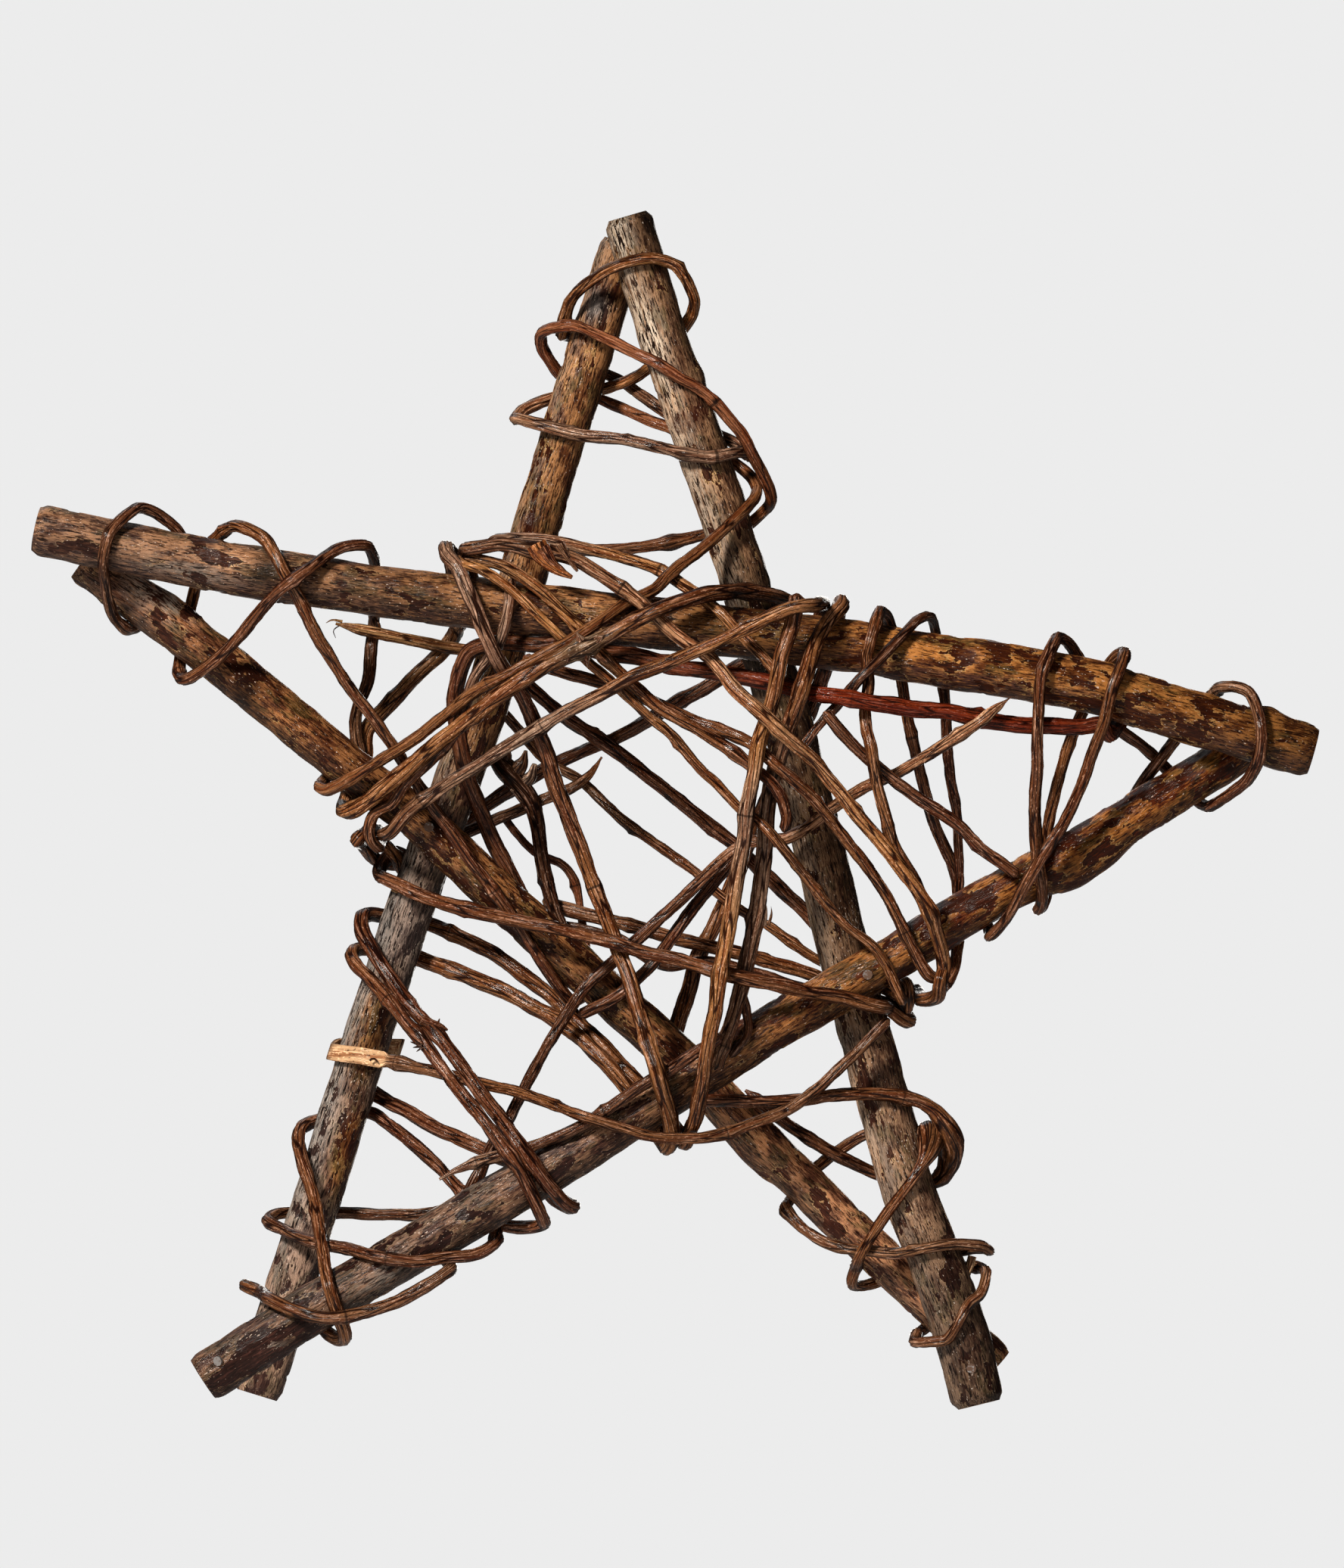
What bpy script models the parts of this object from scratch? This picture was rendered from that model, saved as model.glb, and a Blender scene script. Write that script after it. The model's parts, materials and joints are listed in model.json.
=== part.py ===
"""Rustic hanging star: five unpeeled sticks nailed where they cross, and wound with grapevine.

The star hangs upright. X runs to the right, Z up, and Y away from the viewer, so its front faces -Y.
Its origin is in the crotch under the top crossing, where the wall nail carries it.

Routes are given on a flat drawing of the front, in drawing units: x to the right, y down. The drawing says
only where a stick or a vine shows. How deep it lies is worked out here: the sticks are stacked at their
crossings, and each vine is pulled tight over the sticks and over the vines that were wound before it.
"""

from collections import namedtuple
from math import cos, pi, radians, sin

import bmesh
import bpy
import numpy as np

# Driving sizes, in metres. A stick has two diameters, because it is thicker towards the root.
STAR_WIDTH = 0.508
LEVEL_STICK_TIP = 0.0203
LEVEL_STICK_ROOT = 0.0213
RIGHT_LEG_TIP = 0.0189
RIGHT_LEG_ROOT = 0.0216
LEFT_LEG_TIP = 0.0184
LEFT_LEG_ROOT = 0.0194
LEFT_BRACE_ROOT = 0.0184
LEFT_BRACE_TIP = 0.0164
RIGHT_BRACE_TIP = 0.0176
RIGHT_BRACE_ROOT = 0.0202
THIN_VINE = 0.0033
SLIM_VINE = 0.0042
MIDDLE_VINE = 0.0048
STOUT_VINE = 0.0056
THICK_VINE = 0.0064
BAND_WIDTH = 0.0068
BAND_THICKNESS = 0.0026
BAND_LENGTH = 0.060
BAND_TAPER = 0.010
VINE_POINT = 0.0012
VINE_POINT_LENGTH = 0.012
NAIL_HEAD = 0.0040
NAIL_HEAD_THICKNESS = 0.0010
NAIL_SINK = 0.0004
NAIL_SHANK = 0.0020
NAIL_POINT = 0.0008
NAIL_LENGTH = 0.0300
GAP = 0.0003

# The drawing
WIDTH_IN_UNITS = 1698
ORIGIN_IN_UNITS = (831, 425)
UNIT = STAR_WIDTH / WIDTH_IN_UNITS

# How the solids are cut up
STICK_SIDES = 10
VINE_SIDES = 5
NAIL_SIDES = 8
STICK_STEP = 0.036
STEP = 0.004
FLATNESS = 0.0005
SHARP = radians(40)
HOOK_ANGLES = (0, 25, 50)

# How the sticks are stacked and the vines are pulled tight
STACKING_ROUNDS = 300
LEAN_ALLOWANCE = 1.01
BOW = 0.5
HOOK_SHARE = 0.8
PRESSING_ROUNDS = 400
PRESS = 0.000005
CLEARING_ROUNDS = 200
PAIRING_ROUNDS = 40
NEARNESS = 0.002
EAGERNESS = 1.3
OWN_STRETCH = 3
OWN_NEIGHBOURS = 1.6
TINY = 1e-12

FRONT, BACK = -1, 1

Round = namedtuple("Round", "x y stick slack", defaults=[0])
Through = namedtuple("Through", "x y")
Lay = namedtuple("Lay", "rank")

# Each stick: its diameter at its two sawn ends, and its centre line from the first of them to the other
STICKS = {
    "level_stick": (LEVEL_STICK_TIP, LEVEL_STICK_ROOT, [
        (50, 700), (298, 751), (497, 781), (560, 790), (850, 823), (1140, 857), (1250, 876),
        (1450, 909), (1584, 953), (1732, 994),
    ]),
    "right_leg_stick": (RIGHT_LEG_TIP, RIGHT_LEG_ROOT, [
        (829, 285), (892, 495), (937, 617), (981, 760), (1048, 980), (1082, 1118), (1137, 1347),
        (1161, 1431), (1215, 1620), (1258, 1715), (1293, 1856),
    ]),
    "left_leg_stick": (LEFT_LEG_TIP, LEFT_LEG_ROOT, [
        (825, 318), (718, 660), (644, 923), (600, 1040), (540, 1200), (508, 1300), (481, 1380),
        (444, 1500), (337, 1846),
    ]),
    "left_brace_stick": (LEFT_BRACE_ROOT, LEFT_BRACE_TIP, [
        (109, 741), (307, 886), (455, 1011), (564, 1092), (655, 1180), (774, 1287), (899, 1401),
        (998, 1502), (1066, 1568), (1125, 1627), (1319, 1806),
    ]),
    "right_brace_stick": (RIGHT_BRACE_TIP, RIGHT_BRACE_ROOT, [
        (1690, 957), (1600, 1015), (1518, 1067), (1454, 1108), (1299, 1191), (1183, 1264), (1037, 1347),
        (730, 1540), (620, 1605), (499, 1678), (394, 1740), (271, 1820),
    ]),
}
LEVEL, RIGHT, LEFT, LEFT_DOWN, RIGHT_DOWN = STICKS

# Where two sticks cross, the first lies in front
CROSSINGS = [
    (RIGHT, LEFT), (LEVEL, LEFT_DOWN), (LEVEL, RIGHT_DOWN), (RIGHT_DOWN, LEFT), (RIGHT, LEFT_DOWN),
    (LEVEL, LEFT), (LEVEL, RIGHT), (LEFT_DOWN, LEFT), (RIGHT_DOWN, LEFT_DOWN), (RIGHT_DOWN, RIGHT),
]

# Each nail: the stick that shows its head, the stick that it holds, and where its head and its point are
NAILS = {
    "left_foot_nail": (RIGHT_DOWN, LEFT, (292, 1794), (346, 1776)),
    "right_foot_nail": (RIGHT, LEFT_DOWN, (1283, 1806), (1294, 1784)),
    "left_crossing_nail": (LEFT_DOWN, LEFT, (567, 1093), (576, 1096)),
    "right_crossing_nail": (RIGHT_DOWN, RIGHT, (1145, 1287), (1134, 1289)),
}

# Each vine: its diameter, the side it starts on, and its way. A pair is a point it passes. Round is the far
# edge of a stick that it goes round, so that it changes sides there, and its last number says how far, in
# drawing units, it stands off the stick there. Through is a place between the sticks where it changes sides.
# A vine of higher Lay lies outside the vines of lower Lay that it crosses.
VINES = {
    "top_coil_vine": (MIDDLE_VINE, BACK, [
        Lay(12), (788, 447), Round(744, 440, LEFT, 3), (755, 397), (779, 372), (804, 357), (834, 346),
        (865, 342), (893, 352), Round(917, 392, RIGHT, 11), (905, 428), (856, 486), (816, 506), (726, 525),
        Round(684, 552, LEFT, 27), (742, 568), (834, 584), (902, 599), (941, 605), Round(986, 600, RIGHT, 11),
        (960, 581), (874, 541), (834, 510), (788, 484),
    ]),
    "top_loop_vine": (MIDDLE_VINE, FRONT, [
        Lay(10), (745, 724), (800, 727), (840, 722), (880, 718), Through(915, 709), (955, 700), (990, 692),
        Round(1018, 660, RIGHT, 23), Lay(14), (1012, 633), (996, 602), (975, 568), (951, 544), (926, 516),
        (895, 498), (865, 480), (834, 467), (791, 446), (758, 431), Round(717, 442, LEFT, 28), (745, 498),
        (834, 544), (880, 562), (960, 602), Round(998, 648, RIGHT, 10), (963, 691), (926, 727), (895, 752),
        (865, 778), (815, 807), (772, 838), Lay(17), (745, 851), (667, 894), (620, 920), (552, 974),
        (504, 1003), Round(424, 1038, LEFT_DOWN, 4), (450, 1000),
    ]),
    "left_point_vine": (SLIM_VINE, BACK, [
        Lay(10), (475, 1000), (466, 965), (471, 928), (484, 895), (488, 852), (491, 816), (497, 745),
        Round(484, 722, LEVEL, 13), Lay(14), (448, 729), (418, 749), (365, 789), (332, 826), (288, 872),
        Round(242, 893, LEFT_DOWN, 8), (237, 869), (252, 790), (275, 725), Round(316, 698, LEVEL, 13),
        Lay(6), (351, 713), (365, 733), (386, 773), (418, 836), (464, 908), (507, 971), (558, 1044),
        (617, 1132), (665, 1195), (719, 1275), Round(757, 1322, LEFT_DOWN, 0), (800, 1300),
    ]),
    "left_tip_vine": (SLIM_VINE, BACK, [
        Lay(12), (262, 752), (237, 703), Round(190, 674, LEVEL, 13), (152, 700), (141, 730), (139, 759),
        (143, 790), Round(168, 822, LEFT_DOWN, 0), (215, 808),
    ]),
    "long_hook_vine": (THICK_VINE, BACK, [
        Lay(22), (1006, 850), Round(1034, 798, RIGHT, 0), (1010, 789), (980, 783), (940, 787), (910, 795),
        (850, 815), (820, 830), (790, 847), (745, 868), (680, 905), (600, 965), (545, 1012), (500, 1050),
        Round(457, 1070, LEFT_DOWN, 7), (478, 1010), (482, 968), (504, 939), (545, 897), (577, 862),
        (600, 834), Round(596, 727, LEVEL, 20), Lay(15), (612, 765), (640, 830), (668, 890), (690, 920),
        (707, 955), (722, 1000), (752, 1080), (782, 1165), (812, 1240), (845, 1335), (864, 1399),
        (878, 1456), Round(884, 1508, RIGHT_DOWN, 16), Lay(10), (835, 1446), (790, 1402), (740, 1350),
        (700, 1332), (640, 1303), (600, 1285), (545, 1265),
    ]),
    "centre_vine": (THICK_VINE, FRONT, [
        Lay(18), (1053, 786), (1045, 830), (1030, 870), (1022, 920), (1003, 975), (999, 1010), (990, 1050),
        (979, 1128), (959, 1255), (937, 1367), (921, 1463), Round(906, 1514, RIGHT_DOWN, 22), Lay(12),
        (860, 1450), (780, 1366), (730, 1320), (680, 1280), (620, 1245), (565, 1222),
        Round(482, 1214, LEFT, 12), (512, 1285), (540, 1326), (570, 1358), (590, 1385), (610, 1410),
        (647, 1460), (680, 1500), (708, 1540), (735, 1575), Round(757, 1592, RIGHT_DOWN, 14), (700, 1550),
        (640, 1520), (559, 1482), (495, 1447), (470, 1436),
    ]),
    "left_leg_vine": (MIDDLE_VINE, BACK, [
        Lay(14), (520, 1258), Round(468, 1260, LEFT, 13), (496, 1301), (528, 1339), (559, 1377), (583, 1409),
        (605, 1437), (628, 1462), (660, 1505), (688, 1545), (706, 1583), Round(716, 1612, RIGHT_DOWN, 16),
        (685, 1620), (650, 1612), (609, 1576), (582, 1545), (530, 1504), (485, 1473),
        Round(398, 1497, LEFT, 6), (402, 1535), (413, 1573), (423, 1614), (434, 1680), (444, 1720),
        Round(457, 1766, RIGHT_DOWN, 12), (400, 1735), Round(322, 1700, LEFT, 16), (358, 1714), (392, 1728),
        (427, 1735), (461, 1735), (495, 1728), (530, 1714), Round(594, 1664, RIGHT_DOWN, 0), (572, 1640),
    ]),
    "left_foot_vine": (SLIM_VINE, BACK, [
        Lay(10), (600, 1598), (557, 1608), (495, 1607), (444, 1607), Round(354, 1614, LEFT, 12),
        (392, 1635), (423, 1640), (513, 1659), (564, 1664), (599, 1664), Round(648, 1640, RIGHT_DOWN, 7),
        (655, 1600),
    ]),
    "peeled_vine": (SLIM_VINE, BACK, [
        Lay(11), (528, 1386), Round(440, 1392, LEFT, 0), (470, 1397), (504, 1402), (543, 1409), (591, 1419),
        (639, 1431), (687, 1444), (735, 1460), (783, 1476), (815, 1488), (850, 1496), (889, 1497),
        (925, 1498), (959, 1493), (1007, 1479), (1042, 1463), (1081, 1437), (1112, 1408), (1144, 1373),
        (1172, 1341),
    ]),
    "right_foot_vine": (SLIM_VINE, BACK, [
        Lay(12), (1236, 1662), Round(1305, 1655, RIGHT, 26), (1265, 1642), (1198, 1652), (1165, 1655),
        (1132, 1652), (1099, 1645), (1066, 1629), Round(1039, 1596, LEFT_DOWN, 3), (1079, 1546),
        (1142, 1501), Round(1224, 1498, RIGHT, 3), Lay(14), (1208, 1552), (1165, 1612), (1145, 1645),
        Round(1127, 1698, LEFT_DOWN, 14), (1180, 1690), Round(1298, 1682, RIGHT, 11), (1281, 1721),
        (1265, 1748), (1248, 1768), Round(1208, 1772, RIGHT, 16), (1250, 1735),
    ]),
    "right_foot_hoop_vine": (MIDDLE_VINE, FRONT, [
        Lay(8), (925, 1452), (970, 1454), (1033, 1453), (1099, 1446), (1165, 1446), (1205, 1453),
        (1232, 1466), Round(1256, 1508, RIGHT, 29), (1236, 1562), (1159, 1552), (1105, 1523), (1066, 1503),
        (1029, 1476), (985, 1442),
    ]),
    "right_point_vine": (MIDDLE_VINE, BACK, [
        Lay(10), (1484, 1085), (1508, 1038), (1528, 1011), (1548, 985), Round(1618, 906, LEVEL, 7),
        (1646, 914), (1659, 941), (1664, 975), (1659, 1005), (1646, 1031), Round(1598, 1066, RIGHT_DOWN, 3),
        (1542, 1015), (1505, 981), (1478, 963), (1424, 872), Round(1396, 843, LEVEL, 10), Lay(12),
        (1374, 891), (1367, 981), (1366, 1048), (1367, 1115), Round(1369, 1198, RIGHT_DOWN, 2),
        (1382, 1102), (1398, 1032), (1418, 969), Round(1482, 864, LEVEL, 8), Lay(14), (1451, 964),
        (1424, 1042), (1401, 1089), (1377, 1129), (1341, 1190), Round(1306, 1234, RIGHT_DOWN, 3),
        (1290, 1190),
    ]),
    "right_fan_vine": (SLIM_VINE, BACK, [
        Lay(8), (1264, 1212), (1268, 1173), (1268, 1150), (1266, 1103), (1254, 1007), (1247, 911),
        Round(1226, 817, LEVEL, 10), Lay(5), (1187, 848), (1155, 879), (1123, 911), (1097, 940), (1075, 969),
        (1056, 991),
    ]),
    "right_pair_vine": (MIDDLE_VINE, FRONT, [
        Lay(10), (692, 868), (715, 880), (785, 900), (839, 918), (900, 946), (940, 962), (990, 985),
        (1040, 1025), (1065, 1047), (1097, 1084), (1135, 1132), (1160, 1167), (1183, 1208), (1205, 1255),
        Round(1244, 1300, RIGHT_DOWN, 26), (1266, 1245), (1263, 1160), (1247, 1119), (1231, 1077),
        (1209, 991), (1200, 943), (1190, 902), Round(1162, 810, LEVEL, 7), Lay(4), (1145, 870),
        (1148, 905), (1142, 943), Lay(12), (1146, 968), (1152, 1007), (1158, 1039), (1168, 1071), (1180, 1115),
        (1200, 1150), (1216, 1182), (1226, 1202),
    ]),
    "long_cross_vine": (STOUT_VINE, BACK, [
        Lay(20), (632, 802), Round(607, 733, LEVEL, 16), (640, 726), (665, 723), (700, 730), (745, 737),
        (790, 757), (850, 800), (900, 845), (935, 870), (970, 910), (1050, 985), (1100, 1035), (1132, 1077),
        (1167, 1118), (1199, 1163), (1230, 1210), (1237, 1246), Round(1230, 1314, RIGHT_DOWN, 30),
        (1140, 1275), (1071, 1214), (1014, 1157), (940, 1095), (880, 1045), (840, 1015), (793, 978),
        (728, 934), (698, 905), (655, 868),
    ]),
    "cross_vine": (SLIM_VINE, FRONT, [
        Lay(12), (626, 750), (650, 762), (680, 785), (710, 812), (745, 843), (775, 872), (808, 900),
        (855, 945), (880, 965), (940, 1030), (980, 1070), (1004, 1086), (1042, 1128), (1074, 1172),
        (1119, 1224), (1160, 1259), Round(1200, 1326, RIGHT, 22), (1150, 1300), (1084, 1271), (1001, 1214),
        (956, 1188), (925, 1160), (880, 1125), (820, 1080), (765, 1030), (716, 1000), (667, 945),
        (635, 922),
    ]),
    "knotted_vine": (MIDDLE_VINE, FRONT, [
        Lay(11), (634, 742), (660, 748), (696, 768), (740, 806), (769, 834), (790, 862), (822, 892),
        (860, 926), (900, 952), (940, 975), (970, 995), (990, 1010), (1012, 1028), (1030, 1052),
        (1038, 1082), (1034, 1100),
    ]),
    "upper_cross_vine": (MIDDLE_VINE, BACK, [
        Lay(12), (708, 732), Round(652, 716, LEFT, 9), (700, 711), (740, 716), (780, 726), (830, 738),
        (860, 748), (895, 770), (915, 785), (950, 810), (985, 848), (1012, 878), (1028, 894),
    ]),
    "ridge_vine": (STOUT_VINE, BACK, [
        Lay(24), (1078, 856), Round(1092, 802, LEVEL, 4), (1070, 802), (1043, 807), (1010, 820), (950, 848),
        (920, 862), (860, 885), (820, 905), (780, 925), (700, 968), (640, 1005), (570, 1050), (540, 1070),
        Round(481, 1118, LEFT, 44), (500, 1136), (530, 1143), (600, 1096), (640, 1065), (700, 1030),
        (738, 1008), (785, 987), (820, 972), (855, 950), (900, 925), (950, 895), (1008, 862),
    ]),
    "short_loop_vine": (MIDDLE_VINE, FRONT, [
        Lay(12), (675, 782), (672, 820), (653, 866), (635, 890), (620, 918), (605, 960), (590, 985),
        (565, 1008), (545, 1030), (520, 1060), Round(499, 1098, LEFT_DOWN, 7), (508, 1122), (530, 1146),
        (572, 1152),
    ]),
    "red_vine": (THICK_VINE, BACK, [
        Lay(6), (1502, 932), Through(1466, 955), (1438, 961), (1384, 961), (1298, 950), (1203, 937),
        (1139, 927), (1069, 915), (1011, 900), (947, 889), (900, 883), (855, 872), (800, 862), (746, 853),
        (690, 852), (650, 853), (622, 862), (607, 890), (601, 915), (600, 935), (606, 971), (613, 1011),
        (620, 1036), (642, 1088), Through(658, 1122), (690, 1190),
    ]),
    "tan_vine": (MIDDLE_VINE, BACK, [
        Lay(4), (441, 822), (520, 838), (568, 850), (619, 859), (668, 868),
    ]),
    "dark_back_vine": (STOUT_VINE, BACK, [
        Lay(6), (636, 975), (655, 1005), (675, 1030), (700, 1060), (710, 1100), (715, 1140), (725, 1180),
        (735, 1210), (768, 1262),
    ]),
    "broken_back_vine": (MIDDLE_VINE, BACK, [
        Lay(8), (585, 1120), (613, 1103), (650, 1088), (690, 1070), (735, 1048), (770, 1030), (795, 1000),
    ]),
    "thin_back_vine": (THIN_VINE, BACK, [
        Lay(12), (660, 1075), (674, 1089), (705, 1126), (739, 1141), (758, 1166), (764, 1203), (776, 1262),
    ]),
    "grey_vine": (THICK_VINE, BACK, [
        Lay(14), (884, 1400), (896, 1351), (908, 1319), (928, 1255), (960, 1190), (990, 1110), (1035, 1010),
        (1075, 930), (1087, 895), Round(1108, 802, LEVEL, 7), Lay(9), (1080, 845), (1065, 890), (1055, 920),
        (1043, 955), (1028, 1000), (1015, 1060), (1010, 1128), (1004, 1175), (991, 1240), (979, 1303),
        (966, 1351), (951, 1386), (943, 1412),
    ]),
    "pointed_vine": (MIDDLE_VINE, FRONT, [
        Lay(8), (1333, 922), (1279, 962), (1235, 991), (1187, 1020), (1123, 1052), (1085, 1077),
        (1037, 1109), (1000, 1112), (975, 1121), (930, 1163), (900, 1188), (845, 1237), (811, 1269),
        (776, 1304), (751, 1339), (706, 1412), (674, 1476), (650, 1514), Through(630, 1556), (604, 1602),
    ]),
    "companion_vine": (MIDDLE_VINE, FRONT, [
        Lay(7), (993, 1108), (965, 1140), (940, 1170), (914, 1200), (880, 1248), (862, 1275), (843, 1294),
        (815, 1317), (783, 1332), (764, 1342),
    ]),
    "slanting_vine": (MIDDLE_VINE, FRONT, [
        Lay(7), (1087, 941), (1096, 952), Lay(9), (1108, 964), (1126, 985), (1145, 1001), (1187, 1036),
        (1250, 1080), (1310, 1132), (1344, 1158),
    ]),
    "cracked_vine": (STOUT_VINE, BACK, [
        Lay(16), (566, 1128), Round(506, 1160, LEFT, 8), (545, 1180), (580, 1192), (650, 1208), (740, 1228),
        (820, 1248), (900, 1268), (969, 1288), (1023, 1300), (1087, 1312), (1151, 1329),
        Round(1198, 1347, RIGHT, 16), Lay(10), (1140, 1318), (1071, 1287), (991, 1265), (927, 1249),
        (864, 1233), (819, 1220), (750, 1203), (716, 1190),
    ]),
    "lower_back_vine": (SLIM_VINE, BACK, [
        Lay(8), (738, 1222), (790, 1236), (819, 1243), (858, 1268), (885, 1279), (930, 1272), (991, 1284),
        (1060, 1306), (1100, 1318),
    ]),
    "split_vine": (MIDDLE_VINE, FRONT, [
        Lay(9), (582, 1556), (599, 1545), (633, 1535), (668, 1525), (702, 1514), (751, 1492), (800, 1465),
        (848, 1431), (896, 1405), (937, 1377), (954, 1366),
    ]),
    "small_vine": (THIN_VINE, FRONT, [
        Lay(8), (976, 1294), (984, 1320), (989, 1345), (988, 1365), (974, 1384), (964, 1396),
    ]),
}

# Vines that change their width and thickness on the way: the distance along, the width, the thickness.
# The width lies along the left leg.
PROFILE_STICK = LEFT
PROFILES = {
    "peeled_vine": [
        (0, BAND_WIDTH, BAND_THICKNESS), (BAND_LENGTH, BAND_WIDTH, BAND_THICKNESS),
        (BAND_LENGTH + BAND_TAPER, SLIM_VINE, SLIM_VINE),
    ],
    "pointed_vine": [(0, VINE_POINT, VINE_POINT), (VINE_POINT_LENGTH, MIDDLE_VINE, MIDDLE_VINE)],
}

# The materials: colour, roughness, metallic
BARK = ((0.19, 0.12, 0.075), 0.6, 0.0)
BROWN_VINE = ((0.13, 0.06, 0.032), 0.45, 0.0)
RED_VINE = ((0.13, 0.04, 0.018), 0.4, 0.0)
GREY_VINE = ((0.17, 0.10, 0.065), 0.55, 0.0)
TAN_VINE = ((0.32, 0.19, 0.10), 0.6, 0.0)
STEEL = ((0.32, 0.30, 0.29), 0.45, 0.9)
BARKS = dict.fromkeys(VINES, BROWN_VINE)
BARKS.update(dict.fromkeys(["red_vine", "thin_back_vine", "top_loop_vine"], RED_VINE))
BARKS.update(dict.fromkeys(["grey_vine", "long_hook_vine", "left_tip_vine", "left_foot_vine"], GREY_VINE))
BARKS.update(dict.fromkeys(["tan_vine", "broken_back_vine", "peeled_vine", "cracked_vine"], TAN_VINE))


def on_star(x, y):
    """The place of a point of the drawing, as (X, Z) in metres."""
    return np.array([(x - ORIGIN_IN_UNITS[0]) * UNIT, (ORIGIN_IN_UNITS[1] - y) * UNIT])


def curve_through(points, step):
    """Places about a step apart on a smooth curve through points, and which point each comes after."""
    points = np.asarray(points, float)
    padded = np.vstack([2 * points[0] - points[1], points, 2 * points[-1] - points[-2]])
    spans = np.sqrt(np.maximum(np.linalg.norm(np.diff(padded, axis=0), axis=1), TINY))
    knots = np.concatenate([[0], np.cumsum(spans)])
    found, after = [], []
    for i in range(1, len(padded) - 2):
        p0, p1, p2, p3 = padded[i - 1:i + 3]
        t0, t1, t2, t3 = knots[i - 1:i + 3]
        count = max(1, round(float(np.linalg.norm(p2 - p1)) / step))
        for share in np.arange(count) / count:
            t = t1 + share * (t2 - t1)
            a1 = ((t1 - t) * p0 + (t - t0) * p1) / (t1 - t0)
            a2 = ((t2 - t) * p1 + (t - t1) * p2) / (t2 - t1)
            a3 = ((t3 - t) * p2 + (t - t2) * p3) / (t3 - t2)
            b1 = ((t2 - t) * a1 + (t - t0) * a2) / (t2 - t0)
            b2 = ((t3 - t) * a2 + (t - t1) * a3) / (t3 - t1)
            found.append(((t2 - t) * b1 + (t - t1) * b2) / (t2 - t1))
            after.append(i - 1)
    return np.array(found + [points[-1]]), np.array(after + [len(points) - 1])


def travelled(line):
    """How far along a line each of its points is."""
    return np.concatenate([[0], np.cumsum(np.linalg.norm(np.diff(line, axis=0), axis=1))])


def from_parts(places, line):
    """How far each place is from each part of a line on the drawing, and how far along the part that is."""
    starts, steps = line[:-1, :2], np.diff(line[:, :2], axis=0)
    away = places[:, None] - starts
    shares = np.clip((away * steps).sum(2) / np.maximum((steps ** 2).sum(1), TINY), 0, 1)
    return np.linalg.norm(away - shares[..., None] * steps, axis=2), shares


def nearest_on(places, line):
    """How far each place is from a line, and the line's own values at the nearest point."""
    apart, shares = from_parts(places, line)
    rows = np.arange(len(places))
    best = apart.argmin(1)
    share = shares[rows, best][:, None]
    return apart[rows, best], line[best] * (1 - share) + line[best + 1] * share


def bowed(share):
    """How much each end and the bow of a stick count at a share of its length."""
    return np.array([1 - share, share, 4 * BOW * share * (1 - share)])


def stacked_sticks():
    """Each stick as its centre line, in rows of X, Z, depth, distance travelled and radius.

    A stick leans in depth and bows a little. Its two ends and its middle move little by little until the
    sticks clear each other where they cross.
    """
    lines = {}
    for name, (first, last, route) in STICKS.items():
        flat, _ = curve_through([on_star(x, y) for x, y in route], STICK_STEP)
        ways = travelled(flat)
        radii = np.interp(ways, [0, ways[-1]], [first / 2, last / 2])
        lines[name] = np.column_stack([flat, np.zeros(len(flat)), ways, radii])
    rules = []
    for front, back in CROSSINGS:
        fine, _ = curve_through(lines[front], STEP)
        apart, seen = nearest_on(fine[:, :2], lines[back])
        place = apart.argmin()
        front_share = fine[place, 3] / lines[front][-1, 3]
        back_share = seen[place, 3] / lines[back][-1, 3]
        weights = np.concatenate([-bowed(front_share), bowed(back_share)])
        needed = (fine[place, 4] + seen[place, 4] + GAP) * LEAN_ALLOWANCE
        rules.append((front, back, weights, needed))
    depths = {name: np.zeros(3) for name in STICKS}
    for _ in range(STACKING_ROUNDS):
        for front, back, weights, needed in rules:
            short = needed - weights @ np.concatenate([depths[front], depths[back]])
            if short > 0:
                moves = weights * short / (weights @ weights)
                depths[front] += moves[:3]
                depths[back] += moves[3:]
    for name, line in lines.items():
        line[:, 2] = depths[name] @ bowed(line[:, 3] / line[-1, 3])
    return lines


def seen_from(line, place):
    """How far along a stick's line a place is, how far to the left of it, and the stick's radius there."""
    _, foot = nearest_on(place[None], line)
    part = min(np.searchsorted(line[:, 3], foot[0, 3], side="right"), len(line) - 1)
    along = line[part, :2] - line[part - 1, :2]
    away = place - foot[0, :2]
    return foot[0, 3], (along[0] * away[1] - along[1] * away[0]) / np.linalg.norm(along), foot[0, 4]


def beside(line, travel, offset):
    """The place at a distance to the left of a stick's line, and the line's depth there."""
    part = int(np.clip(np.searchsorted(line[:, 3], travel, side="right"), 1, len(line) - 1))
    along = line[part] - line[part - 1]
    foot = line[part - 1] + along * (travel - line[part - 1, 3]) / along[3]
    return foot[:2] + offset * np.array([-along[1], along[0]]) / np.linalg.norm(along[:2]), foot[2]


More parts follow.
